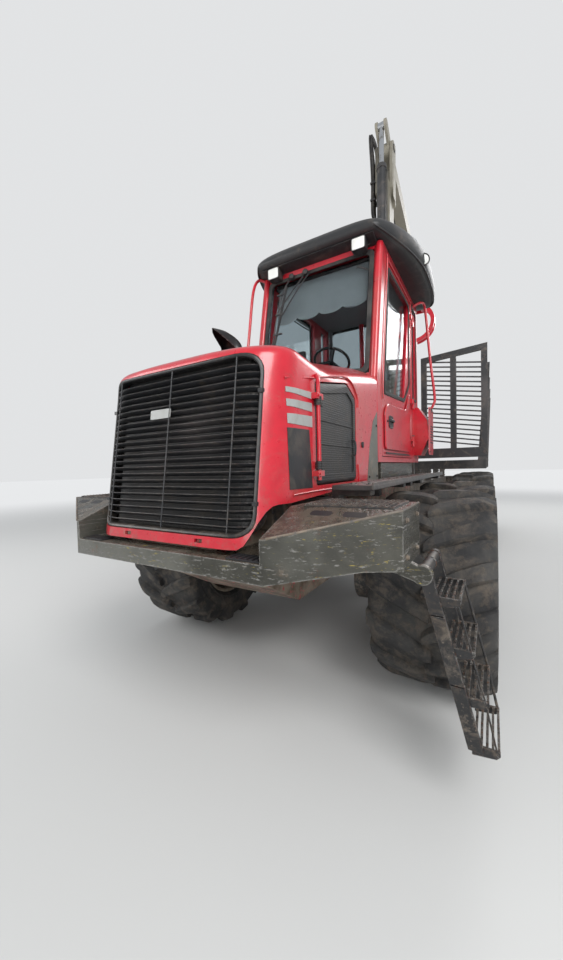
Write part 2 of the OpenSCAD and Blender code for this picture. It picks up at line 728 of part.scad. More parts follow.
module glass_layer() {
  difference() {
    cab_shell(glass_in);
    cab_shell(glass_in + glass_t);
  }
}

module cab_windows() {
  color(glass) intersection() {
    glass_layer();
    wall_window_cuts();
  }
}

module door_window() {
  color(glass) intersection() {
    glass_layer();
    door_window_cut();
  }
}

// Roof: wide over the doors, narrower at its front edge, falling at the front and the rear
roof_x = [cab_rear_x - 130, screen_top_x + 170];

module cab_roof() {
  color(dark) intersection() {
    plan_slab(cab_top_z - 5, roof_z + 5) intersection() {
      round_rect(roof_x[0], roof_x[1], roof_hw, 220);
      polygon([[roof_x[0], -roof_hw], [roof_x[1] - 800, -roof_hw], [roof_x[1], -roof_front_hw],
               [roof_x[1], roof_front_hw], [roof_x[1] - 800, roof_hw], [roof_x[0], roof_hw]]);
    }
    side_slab(-roof_hw - 5, roof_hw + 5) polygon([[roof_x[0], cab_top_z], [roof_x[1], cab_top_z],
      [roof_x[1], cab_top_z + 90], [roof_x[1] - 120, cab_top_z + 200], [roof_x[1] - 800, roof_z - 40],
      [roof_x[1] - 1300, roof_z], [roof_x[0] + 300, roof_z - 70], [roof_x[0] + 60, roof_z - 285],
      [roof_x[0], cab_top_z + 60]]);
    front_slab(roof_x[0] - 5, roof_x[1] + 5)
      polygon([[-roof_hw, cab_top_z - 5], [roof_hw, cab_top_z - 5], [roof_hw, roof_z - 190], [roof_hw - 60, roof_z - 90],
               [roof_hw - 240, roof_z - 25], [0, roof_z], [240 - roof_hw, roof_z - 25], [60 - roof_hw, roof_z - 90],
               [-roof_hw, roof_z - 190]]);
  }
}

// Seat on a turning post
seat_x = cab_rear_x + 850;
seat_post_z = cab_floor_z + cab_wall;
seat_turn_z = seat_post_z + 300;

module seat_base() {
  color(dark) {
    pin_z(seat_x, 0, seat_post_z, seat_turn_z, 160);
    block([seat_x - 200, seat_x + 200], [-180, 180], [seat_post_z, seat_post_z + 60]);
  }
}

module seat() {
  color("#33363a") {
    z = seat_turn_z + pin_fit;
    block([seat_x - 230, seat_x + 270], [-240, 240], [z, z + 150]);
    side_slab(-230, 230) polygon([[seat_x - 230, z + 100], [seat_x - 110, z + 100], [seat_x - 200, z + 800],
                                  [seat_x - 320, z + 800]]);
    both_sides() {
      block([seat_x - 250, seat_x + 250], [240, 320], [z + 230, z + 290]);
      block([seat_x - 190, seat_x - 110], [225, 300], [z + 60, z + 260]);
      pin_z(seat_x + 200, 280, z + 290, z + 380, 30);
    }
  }
}

// Work lamps under the roof's edge and on the gate
module work_lamps() {
  lamp_x = screen_top_x + 20;
  color(lamp_white) {
    for (y = [-460, 460]) block([lamp_x, lamp_x + 130], [y - 55, y + 55], [cab_top_z - 115, cab_top_z]);
    both_sides() pin_y(cab_rear_x + 600, cab_top_z + 130, roof_hw, roof_hw + 45, 120);
  }
}

// Handrails: ahead of the windscreen pillars and behind the doorway
handrail_d = 34;

module handrails() {
  rail_y = cab_hw + 80;
  foot_y = cab_hw - 20;
  lean_x = cab_front_x - 60;
  color(red) both_sides() difference() {
    handrail_tubes(rail_y, foot_y, lean_x);
    block([cab_rear_x, cab_front_x + 100], [0, cab_hw], [cab_floor_z, cab_top_z]);
  }
}

module handrail_tubes(rail_y, foot_y, lean_x) {
  tube_run([[lean_x - 30, foot_y, sill_z + 40], [lean_x, rail_y, sill_z + 90],
            [screen_top_x + 15, rail_y, cab_top_z - 280], [screen_top_x + 10, foot_y, cab_top_z - 250]], handrail_d);
  tube_run([[cab_rear_x + 150, foot_y, sill_z], [cab_rear_x + 150, rail_y + 20, sill_z + 30],
            [cab_rear_x + 200, rail_y + 20, cab_top_z - 330], [cab_rear_x + 200, foot_y, cab_top_z - 300]], handrail_d);
}

// Ladder to the bumper step, hung on a pin under the left wing, leaning out towards its foot
ladder_w = 350;
ladder_x = front_x - 670;
ladder_pin = [1240, 1095];
ladder_pin_d = 30;
ladder_foot = [1500, 110];
ladder_rail = [24, 60];
ladder_steps = 4;

function ladder_y(z) = ladder_pin.x + (ladder_foot.x - ladder_pin.x) * (ladder_pin.y - z) / (ladder_pin.y - ladder_foot.y);

module ladder() {
  x0 = ladder_x - ladder_w / 2;
  x1 = ladder_x + ladder_w / 2;
  h = ladder_rail[1] / 2;
  step_rise = (ladder_pin.y - ladder_foot.y) / (ladder_steps + 0.3);
  color(dark) difference() {
    union() {
      for (x = [x0, x1 - ladder_rail[0]]) front_slab(x, x + ladder_rail[0]) {
        translate(ladder_pin) circle(32);
        polygon([[ladder_pin.x - h, ladder_pin.y], [ladder_foot.x - h, ladder_foot.y],
                 [ladder_foot.x + h, ladder_foot.y], [ladder_pin.x + h, ladder_pin.y]]);
      }
      for (i = [0 : ladder_steps - 1]) {
        z = ladder_foot.y + 20 + i * step_rise;
        block([x0, x1], [ladder_y(z) - 120, ladder_y(z) + 20], [z, z + 35]);
      }
      bar([x0 - 20, ladder_pin.x, ladder_pin.y], [x1 + 15, ladder_pin.x, ladder_pin.y], 60);
    }
    bar([x0 - 100, ladder_pin.x, ladder_pin.y], [x1 + 100, ladder_pin.x, ladder_pin.y], ladder_pin_d + 2 * pin_fit);
  }
}

// Rear frame
module rear_frame() {
  hw = rear_frame_w / 2;
  z0 = frame_top_z - rear_frame_h;
  body_x = steer_x - 320;
  color(dark) {
    difference() {
      union() {
        block([rear_x, rear_x + 120], [-1100, 1100], [z0 + 40, frame_top_z]);
        block([rear_x + 115, crane_x - 240], [-hw, hw], [z0, frame_top_z]);
      }
      pin_z(rear_x + tow_in, 0, z0 - 5, frame_top_z + 5, tow_bore_d);
      block([rear_x - 5, rear_x + 2 * tow_in], [-90, 90], [z0 + 130, frame_top_z - 60]);
    }
    block([crane_x - 250, body_x], [-240, 240], [z0, frame_top_z]);
    difference() {
      plan_slab(tongue_z - tongue_t / 2, tongue_z + tongue_t / 2) {
        translate([steer_x, 0]) circle(tongue_r);
        translate([body_x - 5, -tongue_r]) square([steer_x - body_x + 5, 2 * tongue_r]);
      }
      pin_z(steer_x, 0, z0 - 50, frame_top_z + 50, steer_pin_d + 2 * pin_fit);
    }
    // Crane seat
    pin_z(crane_x, 0, frame_top_z, slew_z, 560);
    both_sides() {
      pin_y(rear_bogie_x, wheel_z + 60, hw - 5, bogie_in_y, 320);
      block([rear_bogie_x - 160, rear_bogie_x + 160], [hw - 60, hw], [wheel_z - 100, frame_top_z - rear_frame_h + 5]);
      steer_rod_lugs();
    }
    // Gate feet
    both_sides() block([gate_x - 60, gate_x + 60], [hw - 120, hw], [frame_top_z, gate_z]);
    // Bunk feet
    for (x = bunk_x) both_sides() block([x - 80, x + 80], [hw - 120, hw], [frame_top_z, bunk_z - bunk_h]);
  }
}

module steer_rod_lugs() {
  for (z = [-1, 1]) plan_slab(tongue_z + z * (steer_eye_h / 2 + 15 + pin_fit) - 15,
                              tongue_z + z * (steer_eye_h / 2 + 15 + pin_fit) + 15) {
    translate(steer_rod_at) circle(60);
    translate([steer_rod_at.x - 60, 230]) square([120, steer_rod_at.y - 230]);
  }
}

// Load gate: posts, sloping top, slanted bars; the middle is open for the crane
gate_posts = [450, 910, gate_hw - 90];
gate_post_w = 90;
gate_t = 70;
gate_bars = 18;
gate_dip = 130;

function gate_top(y) = gate_top_z - gate_dip * (1 - y / gate_hw);

module gate() {
  x0 = gate_x - gate_t / 2;
  x1 = gate_x + gate_t / 2;
  in_y = gate_posts[0];
  bar_pitch = (gate_top_z - gate_z - 400) / gate_bars;
  color(dark) {
    block([x0, x1], [-gate_hw, gate_hw], [gate_z, gate_z + 160]);
    block([gate_x - 20, gate_x + 20], [-in_y - 5, in_y + 5], [gate_z + 480, gate_z + 530]);
    both_sides() {
      for (y = gate_posts) block([x0, x1], [y, y + gate_post_w], [gate_z, gate_top(y) - 20]);
      front_slab(x0, x1) polygon([[in_y, gate_top(in_y) - 90], [gate_hw, gate_top_z - 90],
                                  [gate_hw, gate_top_z], [in_y, gate_top(in_y)]]);
      for (i = [0 : gate_bars - 1]) front_slab(gate_x - 7, gate_x + 7)
        polygon([[in_y + 60, gate_z + 310 + i * bar_pitch], [gate_hw - 60, gate_z + 170 + i * bar_pitch],
                 [gate_hw - 60, gate_z + 194 + i * bar_pitch], [in_y + 60, gate_z + 334 + i * bar_pitch]]);
    }
  }
}

// Bunks: cross beam with a stake at each end
bunk_x = [-760, -2050, -3350, -4700];
bunk_h = 160;
bunk_hw = 1420;
stake_lean = 60;

module bunk(i) {
  x = bunk_x[i];
  color(dark) {
    block([x - 80, x + 80], [-bunk_hw, bunk_hw], [bunk_z - bunk_h, bunk_z]);
    both_sides() translate([x + 55, 0, 0]) rotate([90, 0, -90]) linear_extrude(110)
      polygon([[-bunk_hw, bunk_z - 20], [-bunk_hw - stake_lean, bunk_z + stake_h],
               [-bunk_hw - stake_lean + 70, bunk_z + stake_h], [-bunk_hw + 130, bunk_z - 20]]);
  }
}

// Crane. Its own plane is the side view, its reach towards the rear at rest.
slew_z = frame_top_z + 300;
pillar_d = 340;
lug_t = 40;
pin_hole_d = boom_pin_d + 2 * pin_fit;
pivot = [crane_x, 0, boom_pivot_z];
elbow = pivot + main_len * [-cos(main_angle), 0, sin(main_angle)];
mouth = elbow + outer_len * [-cos(outer_angle), 0, -sin(outer_angle)];
tip = mouth + ext_out * [-cos(outer_angle), 0, -sin(outer_angle)];

// Frames of the booms: X along the boom, Z its upper or inner side
module along_main() {
  translate(pivot) rotate([0, 180 + main_angle, 0]) mirror([0, 0, 1]) children();
}

module along_outer() {
  translate(elbow) rotate([0, 180 - outer_angle, 0]) mirror([0, 0, 1]) children();
}

// Lift cylinder: barrel on the pillar, rod under the main boom
lift_barrel_at = [crane_x - 330, 0, slew_z + 330];
lift_rod_s = 1050;
lift_rod_off = -260;
lift_rod_at = pivot + lift_rod_s * [-cos(main_angle), 0, sin(main_angle)]
              + lift_rod_off * [sin(main_angle), 0, cos(main_angle)];
lift_d = 170;
lift_rod_d = 90;
lift_w = 120;

module crane_pillar() {
  color(dark) {
    pin_z(crane_x, 0, slew_z + pin_fit, slew_z + 110, 540);
    pin_z(crane_x, 0, slew_z + 100, boom_pivot_z - 330, pillar_d);
    // Fork that holds the main boom's foot
    both_sides() difference() {
      side_slab(main_w / 2 + pin_fit, main_w / 2 + pin_fit + lug_t) {
        translate([crane_x, boom_pivot_z]) circle(120);
        polygon([[crane_x - 120, boom_pivot_z], [crane_x + 120, boom_pivot_z],
                 [crane_x + pillar_d / 2, boom_pivot_z - 450], [crane_x - pillar_d / 2, boom_pivot_z - 450]]);
      }
      pin_y(crane_x, boom_pivot_z, 0, main_w, boom_pin_d - 2);
    }
    block([crane_x - pillar_d / 2, crane_x + pillar_d / 2], [-main_w / 2 - lug_t, main_w / 2 + lug_t],
          [boom_pivot_z - 450, boom_pivot_z - 330]);
    pin_y(crane_x, boom_pivot_z, -main_w / 2 - lug_t - 20, main_w / 2 + lug_t + 20, boom_pin_d);
    // Ears for the lift cylinder
    both_sides() side_slab(lift_w / 2 + pin_fit, lift_w / 2 + pin_fit + lug_t) {
      translate([lift_barrel_at.x, lift_barrel_at.z]) circle(85);
      polygon([[lift_barrel_at.x, lift_barrel_at.z - 85], [crane_x, lift_barrel_at.z - 220],
               [crane_x, lift_barrel_at.z + 130], [lift_barrel_at.x, lift_barrel_at.z + 85]]);
    }
    pin_y(lift_barrel_at.x, lift_barrel_at.z, -lift_w / 2 - lug_t - 15, lift_w / 2 + lug_t + 15, boom_pin_d);
  }
}

module main_boom() {
  hw = main_w / 2;
  color(dark) along_main() {
    difference() {
      union() {
        side_slab(-hw, hw) {
          circle(130);
          polygon([[0, -130], [600, -main_h / 2 - 20], [main_len - 650, -main_h / 2], [main_len - 300, -90],
                   [main_len - 300, -20], [main_len - 650, main_h / 2], [600, main_h / 2 + 20], [0, 130]]);
        }
        // Elbow fork outside the outer boom's foot
        both_sides() side_slab(hw - 5, hw + lug_t) {
          translate([main_len, 0]) circle(110);
          polygon([[main_len - 900, -110], [main_len, -110], [main_len, 110], [main_len - 700, 110]]);
        }
        // Ears for the lift rod
        both_sides() side_slab(lift_w / 2 + pin_fit, hw) {
          translate([lift_rod_s, lift_rod_off]) circle(80);
          polygon([[lift_rod_s - 320, -100], [lift_rod_s - 75, lift_rod_off - 30], [lift_rod_s + 75, lift_rod_off - 30],
                   [lift_rod_s + 320, -100]]);
        }
        // Ears for the fold barrel
        both_sides() side_slab(fold_w / 2 + pin_fit, hw) {
          translate([fold_barrel_s, fold_barrel_off]) circle(70);
          polygon([[fold_barrel_s - 250, 100], [fold_barrel_s - 65, fold_barrel_off + 20],
                   [fold_barrel_s + 65, fold_barrel_off + 20], [fold_barrel_s + 250, 100]]);
        }
      }
      pin_y(0, 0, -200, 200, pin_hole_d);
    }
    pin_y(main_len, 0, -hw - lug_t - 15, hw + lug_t + 15, boom_pin_d);
    pin_y(fold_barrel_s, fold_barrel_off, -hw - 10, hw + 10, fold_pin_d);
  }
}

// Fold cylinder: barrel on the main boom's inner side, rod on a lever of the outer boom
fold_barrel_s = 1500;
fold_barrel_off = 260;
fold_pin_d = 70;
fold_d = 140;
fold_rod_d = 80;
fold_w = 100;
lever_len = 330;
lever_angle = 155;
lever_end = lever_len * [cos(lever_angle), sin(lever_angle)];
outer_h = 230;
outer_hw = main_w / 2 - 5 - pass_gap;
boom_wall = 20;
boom_cavity_s = 350;
boom_slip = 2;
ext_tail = 1600;

module outer_boom() {
  color(boom_grey) along_outer() difference() {
    union() {
      side_slab(-outer_hw, outer_hw) {
        circle(110);
        polygon([[0, -110], [500, -outer_h / 2], [outer_len, -outer_h / 2], [outer_len, outer_h / 2],
                 [500, outer_h / 2], [0, 110]]);
      }
      // Lever plates behind the elbow, for the fold rod's eye
      both_sides() side_slab(fold_w / 2 + pin_fit, outer_hw) {
        translate(lever_end) circle(75);
        polygon([[60, -105], [250, 100], [0, 110], lever_end + [30, 70], lever_end + [-30, -70]]);
      }
    }
    block([boom_cavity_s, outer_len + 5], [-outer_hw + boom_wall, outer_hw - boom_wall],
          [-outer_h / 2 + boom_wall, outer_h / 2 - boom_wall]);
    pin_y(0, 0, -200, 200, pin_hole_d);
  }
}

module boom_extension() {
  hw = outer_hw - boom_wall - boom_slip;
  hh = outer_h / 2 - boom_wall - boom_slip;
  tip_s = outer_len + ext_out;
  pad = boom_slip - pin_fit;
  color(boom_grey) along_outer() difference() {
    union() {
      block([outer_len - ext_tail, tip_s - 110], [-hw, hw], [-hh, hh]);
      // Wear pads at the tail
      block([outer_len - ext_tail + 10, outer_len - ext_tail + 130], [-hw - pad, hw + pad], [-hh - pad, hh + pad]);
      both_sides() side_slab(tip_eye_hw + pin_fit, hw) {
        translate([tip_s, 0]) circle(70);
        polygon([[tip_s - 120, -hh], [tip_s, -70], [tip_s, 70], [tip_s - 120, hh]]);
      }
    }
    block([outer_len - ext_tail + 100, tip_s - 240], [-hw + 15, hw - 15], [-hh + 15, hh - 15]);
    pin_y(tip_s, 0, -200, 200, tip_pin_d + 2 * pin_fit);
  }
}

module lift_barrel() {
  v = lift_rod_at - lift_barrel_at;
  u = v / norm(v);
  color(dark) difference() {
    union() {
      pin_y(lift_barrel_at.x, lift_barrel_at.z, -lift_w / 2, lift_w / 2, 150);
      bar(lift_barrel_at, lift_barrel_at + 130 * u, lift_w - 10);
      bar(lift_barrel_at + 100 * u, lift_barrel_at + (norm(v) - 620) * u, lift_d);
    }
    pin_y(lift_barrel_at.x, lift_barrel_at.z, -200, 200, pin_hole_d);
    bar(lift_barrel_at + 200 * u, lift_barrel_at + norm(v) * u, lift_rod_d + 2 * pin_fit);
  }
}

module lift_rod() {
  v = lift_rod_at - lift_barrel_at;
  u = v / norm(v);
  color(chrome) {
    bar(lift_barrel_at + 700 * u, lift_rod_at, lift_rod_d);
    pin_y(lift_rod_at.x, lift_rod_at.z, -lift_w / 2, lift_w / 2, 130);
  }
}

fold_barrel_at = pivot + fold_barrel_s * [-cos(main_angle), 0, sin(main_angle)]
                 + fold_barrel_off * [sin(main_angle), 0, cos(main_angle)];
fold_rod_at = elbow + lever_end.x * [-cos(outer_angle), 0, -sin(outer_angle)]
              + lever_end.y * [-sin(outer_angle), 0, cos(outer_angle)];

module fold_barrel() {
  v = fold_rod_at - fold_barrel_at;
  u = v / norm(v);
  color(dark) difference() {
    union() {
      pin_y(fold_barrel_at.x, fold_barrel_at.z, -fold_w / 2, fold_w / 2, 130);
      bar(fold_barrel_at, fold_barrel_at + 230 * u, fold_w - 10);
      bar(fold_barrel_at + 200 * u, fold_barrel_at + 1600 * u, fold_d);
    }
    pin_y(fold_barrel_at.x, fold_barrel_at.z, -200, 200, fold_pin_d + 2 * pin_fit);
    bar(fold_barrel_at + 260 * u, fold_barrel_at + norm(v) * u, fold_rod_d + 2 * pin_fit);
  }
}

module fold_rod() {
  v = fold_rod_at - fold_barrel_at;
  u = v / norm(v);
  color(chrome) {
    bar(fold_barrel_at + 800 * u, fold_rod_at, fold_rod_d);
    pin_y(fold_rod_at.x, fold_rod_at.z, -fold_w / 2, fold_w / 2, 110);
  }
}

// Grapple, hanging from the boom tip
tip_pin_d = 60;
tip_eye_hw = 40;
swing_z = tip.z - link_len;
swing_eye_hw = 45;
rotator_z = swing_z - rotator_h;
claw_z = rotator_z - 200;
claw_arc_r = 390;
claw_arc_w = 80;
claw_hub_hw = 104;
claw_pin_d = 50;

module pin_x(y, z, x0, x1, d) {
  translate([x0, y, z]) rotate([0, 90, 0]) cylinder(h = x1 - x0, d = d);
}

module tip_link() {
  color(dark) difference() {
    union() {
      pin_y(tip.x, tip.z, -tip_eye_hw, tip_eye_hw, 120);
      block([tip.x - 40, tip.x + 40], [-35, 35], [swing_z, tip.z]);
      pin_x(0, swing_z, tip.x - swing_eye_hw, tip.x + swing_eye_hw, 110);
      pin_y(tip.x, tip.z, -82, 82, tip_pin_d);
    }
    pin_x(0, swing_z, tip.x - 100, tip.x + 100, tip_pin_d + 2 * pin_fit);
  }
}

// Fork under the link with the rotator's housing
module swing_block() {
  x0 = tip.x + swing_eye_hw + pin_fit;
  color(dark) {
    for (x = [x0, 2 * tip.x - x0 - 30]) front_slab(x, x + 30) {
      translate([0, swing_z]) circle(58);
      polygon([[-58, swing_z], [-90, swing_z - 110], [90, swing_z - 110], [58, swing_z]]);
    }
    pin_x(0, swing_z, tip.x - 85, tip.x + 85, tip_pin_d);
    block([tip.x - 110, tip.x + 110], [-110, 110], [swing_z - 140, swing_z - 100]);
    pin_z(tip.x, 0, rotator_z + pin_fit, swing_z - 135, 200);
  }
}

// Grapple head: flange, cross box and the plates that hold the claw pins
module rotator() {
  plate_x = claw_hub_hw + pin_fit;
  color(red) {
    pin_z(tip.x, 0, rotator_z - 50, rotator_z, 230);
    block([tip.x - plate_x - 5, tip.x + plate_x + 5], [-150, 150], [rotator_z - 90, rotator_z - 45]);
    for (x = [tip.x + plate_x, tip.x - plate_x - 25]) front_slab(x, x + 25) {
      for (s = [-1, 1]) translate([s * claw_pitch / 2, claw_z]) circle(62);
      polygon([[-claw_pitch / 2 - 62, claw_z], [-claw_pitch / 2, claw_z - 62], [claw_pitch / 2, claw_z - 62],
               [claw_pitch / 2 + 62, claw_z], [130, rotator_z - 45], [-130, rotator_z - 45]]);
    }
    for (s = [-1, 1]) pin_x(s * claw_pitch / 2, claw_z, tip.x - plate_x - 35, tip.x + plate_x + 35, claw_pin_d);
  }
}

// Bowed claw arm from its pin to its point, in y and z
module claw_arm() {
  mid_z = claw_z - claw_reach + claw_arc_r;
  difference() {
    union() {
      translate([0, mid_z]) circle(claw_arc_r + claw_arc_w / 2);
      translate([claw_pitch / 2, claw_z]) circle(58);
    }
    translate([0, mid_z]) circle(claw_arc_r - claw_arc_w / 2);
    polygon([[claw_pitch / 2 - 62, claw_z + 100], [40, mid_z], [40, mid_z - 2 * claw_arc_r],
             [-2 * claw_arc_r, mid_z - 2 * claw_arc_r], [-2 * claw_arc_r, claw_z + 100]]);
  }
}

// Left claw: two outer arms; right claw: one broad arm that passes between them
module claw(side) {
  lanes = side > 0 ? [[62, 98], [-98, -62]] : [[-50, 50]];
  color(red) on_side(side) difference() {
    union() {
      for (lane = lanes) front_slab(tip.x + lane[0], tip.x + lane[1]) claw_arm();
      pin_x(claw_pitch / 2, claw_z, tip.x - claw_hub_hw, tip.x + claw_hub_hw, 100);
      if (side > 0) block([tip.x - 80, tip.x + 80], [claw_arc_r, claw_arc_r + claw_arc_w / 2],
                          [claw_z - claw_reach + claw_arc_r - 60, claw_z - claw_reach + claw_arc_r + 60]);
    }
    pin_x(claw_pitch / 2, claw_z, tip.x - 200, tip.x + 200, claw_pin_d + 2 * pin_fit);
  }
}

front_frame();
bumper();
engine_block();
radiator();
bogie(front_bogie_x, 1);  // front_bogie_left
bogie(front_bogie_x, -1);  // front_bogie_right
side_boxes();
walkway(1);  // walkway_left
walkway(-1);  // walkway_right
handrails();
hood_shell();
grille();
exhaust_stack();
hatch(1);  // hatch_left
hatch(-1);  // hatch_right
cab_body();
cab_roof();
cab_windows();
cab_door();
door_window();
seat_base();
seat();
work_lamps();
ladder();
rear_frame();
gate();
bunk(0);  // bunk_1
bunk(1);  // bunk_2
bunk(2);  // bunk_3
bunk(3);  // bunk_4
bogie(rear_bogie_x, 1);  // rear_bogie_left
bogie(rear_bogie_x, -1);  // rear_bogie_right
steer_barrel(1);  // steer_barrel_left
steer_barrel(-1);  // steer_barrel_right
steer_rod(1);  // steer_rod_left
steer_rod(-1);  // steer_rod_right
crane_pillar();
main_boom();
outer_boom();
boom_extension();
lift_barrel();
lift_rod();
fold_barrel();
fold_rod();
tip_link();
swing_block();
rotator();
claw(1);  // claw_left
claw(-1);  // claw_right
wheel(front_bogie_x + bogie_pitch / 2, 1);  // wheel_front_left_1
wheel(front_bogie_x - bogie_pitch / 2, 1);  // wheel_front_left_2
wheel(front_bogie_x + bogie_pitch / 2, -1);  // wheel_front_right_1
wheel(front_bogie_x - bogie_pitch / 2, -1);  // wheel_front_right_2
wheel(rear_bogie_x + bogie_pitch / 2, 1);  // wheel_rear_left_1
wheel(rear_bogie_x - bogie_pitch / 2, 1);  // wheel_rear_left_2
wheel(rear_bogie_x + bogie_pitch / 2, -1);  // wheel_rear_right_1
wheel(rear_bogie_x - bogie_pitch / 2, -1);  // wheel_rear_right_2
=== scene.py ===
import itertools
import json
import math
import random

import bmesh
import bpy
from mathutils import Matrix, Vector


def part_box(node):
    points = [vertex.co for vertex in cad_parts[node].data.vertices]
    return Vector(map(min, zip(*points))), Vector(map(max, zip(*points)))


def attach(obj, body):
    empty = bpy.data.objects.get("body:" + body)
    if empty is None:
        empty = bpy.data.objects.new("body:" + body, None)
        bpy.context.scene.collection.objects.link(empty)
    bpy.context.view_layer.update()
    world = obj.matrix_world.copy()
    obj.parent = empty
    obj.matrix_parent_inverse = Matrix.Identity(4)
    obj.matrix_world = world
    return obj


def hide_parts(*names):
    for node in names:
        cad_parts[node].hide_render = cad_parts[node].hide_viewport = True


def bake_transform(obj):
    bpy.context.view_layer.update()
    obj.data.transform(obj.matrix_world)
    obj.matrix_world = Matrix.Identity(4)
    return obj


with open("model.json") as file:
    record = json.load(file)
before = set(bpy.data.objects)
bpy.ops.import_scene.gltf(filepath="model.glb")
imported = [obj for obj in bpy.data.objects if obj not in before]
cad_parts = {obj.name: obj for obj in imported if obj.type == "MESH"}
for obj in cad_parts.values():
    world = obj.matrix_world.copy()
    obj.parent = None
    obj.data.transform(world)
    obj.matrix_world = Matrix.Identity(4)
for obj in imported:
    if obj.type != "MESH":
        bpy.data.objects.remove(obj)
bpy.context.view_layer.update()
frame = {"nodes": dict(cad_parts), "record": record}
nodes = frame["nodes"]
body_of_node = {n: b for b, members in frame["record"]["behaviour"]["bodies"].items() for n in members}

# Camera: the photo's frame is 563 by 960 pixels, and its lens is given in pixels
PHOTO_SIZE = (563, 960)
LENS_PX = 351.35
SENSOR = 36.0
CAMERA_AT = Vector((6.499, 1.507, 1.583))
CAMERA_YAW, CAMERA_PITCH, CAMERA_ROLL = 0.540, 0.033, -0.023


def make_camera():
    forward = Vector((-math.cos(CAMERA_YAW), -math.sin(CAMERA_YAW), 0))
    side = Vector((-math.sin(CAMERA_YAW), math.cos(CAMERA_YAW), 0))
    up = Vector((0, 0, 1))
    look = forward * math.cos(CAMERA_PITCH) - up * math.sin(CAMERA_PITCH)
    top = up * math.cos(CAMERA_PITCH) + forward * math.sin(CAMERA_PITCH)
    right = side * math.cos(CAMERA_ROLL) + top * math.sin(CAMERA_ROLL)
    head = top * math.cos(CAMERA_ROLL) - side * math.sin(CAMERA_ROLL)
    data = bpy.data.cameras.new("camera")
    data.sensor_width = SENSOR
    data.lens = LENS_PX / max(PHOTO_SIZE) * SENSOR
    data.clip_end = 500
    cam = bpy.data.objects.new("camera", data)
    cam.matrix_world = Matrix((right, head, -look)).transposed().to_4x4()
    cam.location = CAMERA_AT
    bpy.context.scene.collection.objects.link(cam)
    bpy.context.scene.camera = cam


# Materials
class Nodes:
    """A material's node tree, with short calls for the nodes that are used here."""

    def __init__(self, name):
        self.mat = bpy.data.materials.new(name)
        self.mat.use_nodes = True
        self.tree = self.mat.node_tree
        self.shader = self.tree.nodes["Principled BSDF"]
        self.place = self.make("TexCoord", "Object", {})

    def make(self, kind, output, inputs, **settings):
        """Adds a node with its settings and inputs, and gives one of its outputs."""
        made = self.tree.nodes.new("ShaderNode" + kind)
        for key, value in settings.items():
            setattr(made, key, value)
        for key, value in inputs.items():
            self.put(made.inputs[key], value)
        return made.outputs[output]

    def put(self, socket, value):
        if isinstance(value, bpy.types.NodeSocket):
            self.tree.links.new(value, socket)
        elif socket.type == "RGBA" and len(value) == 3:
            socket.default_value = (*value, 1)
        else:
            socket.default_value = value

    def set(self, **values):
        for key, value in values.items():
            self.put(self.shader.inputs[key.replace("_", " ")], value)

    def stretch(self, scale, turn=(0, 0, 0)):
        turn = [math.radians(a) for a in turn]
        return self.make("Mapping", "Vector", {"Vector": self.place, "Scale": scale, "Rotation": turn})

    def noise(self, scale, detail=4.0, rough=0.55, at=None, bend=0.0):
        return self.make("TexNoise", "Fac", {"Vector": at or self.place, "Scale": scale, "Detail": detail,
                                             "Roughness": rough, "Distortion": bend})

    def blots(self, scale, low, high, detail=4.0, rough=0.55, at=None, bend=0.0):
        """Noise cut to patches."""
        return self.band(self.noise(scale, detail, rough, at, bend), low, high)

    def cells(self, scale):
        return self.make("TexVoronoi", "Distance", {"Vector": self.place, "Scale": scale})

    def waves(self, scale, bend=0.0, way="X"):
        return self.make("TexWave", "Fac", {"Vector": self.place, "Scale": scale, "Distortion": bend}, bands_direction=way)

    def axes(self, place):
        """The three coordinates of a place."""
        split = self.make("SeparateXYZ", 0, {0: place})
        return [split.node.outputs[i] for i in range(3)]

    def normal(self):
        return self.make("NewGeometry", "Normal", {})

    def band(self, value, low, high):
        """0 below low, 1 above high, smooth between; low may be the larger one."""
        flip = low > high
        return self.make("MapRange", "Result", {"Value": value, "From Min": min(low, high), "From Max": max(low, high),
                                                "To Min": float(flip), "To Max": float(not flip)},
                         interpolation_type="SMOOTHSTEP")

    def math(self, kind, a, b=0.0):
        return self.make("Math", 0, {0: a, 1: b}, operation=kind)

    def add(self, a, b):
        return self.math("ADD", a, b)

    def most(self, a, b):
        return self.math("MAXIMUM", a, b)

    def both(self, *values):
        result = values[0]
        for value in values[1:]:
            result = self.math("MULTIPLY", result, value)
        return result

    def mix(self, share, a, b):
        return self.make("Mix", 2, {"Factor": share, 6: a, 7: b}, data_type="RGBA")

    def edges(self, radius):
        """About 0 on flat places and 1 on edges that rub."""
        bevel = self.make("Bevel", 0, {"Radius": radius}, samples=4)
        dot = self.make("VectorMath", "Value", {0: bevel, 1: self.normal()}, operation="DOT_PRODUCT")
        return self.band(dot, 0.99, 0.80)

    def bump(self, height, distance, strength=1.0, normal=None):
        inputs = {"Height": height, "Distance": distance, "Strength": strength}
        if normal:
            inputs["Normal"] = normal
        return self.make("Bump", "Normal", inputs)


MUD = (0.105, 0.076, 0.052)
DRY_MUD = (0.24, 0.195, 0.15)
BARE_STEEL = (0.34, 0.33, 0.31)
RUST = (0.16, 0.055, 0.022)


def shade(colour, share):
    return tuple(c * share for c in colour)


def blend_to(colour, other, share):
    return tuple(a + (b - a) * share for a, b in zip(colour, other))


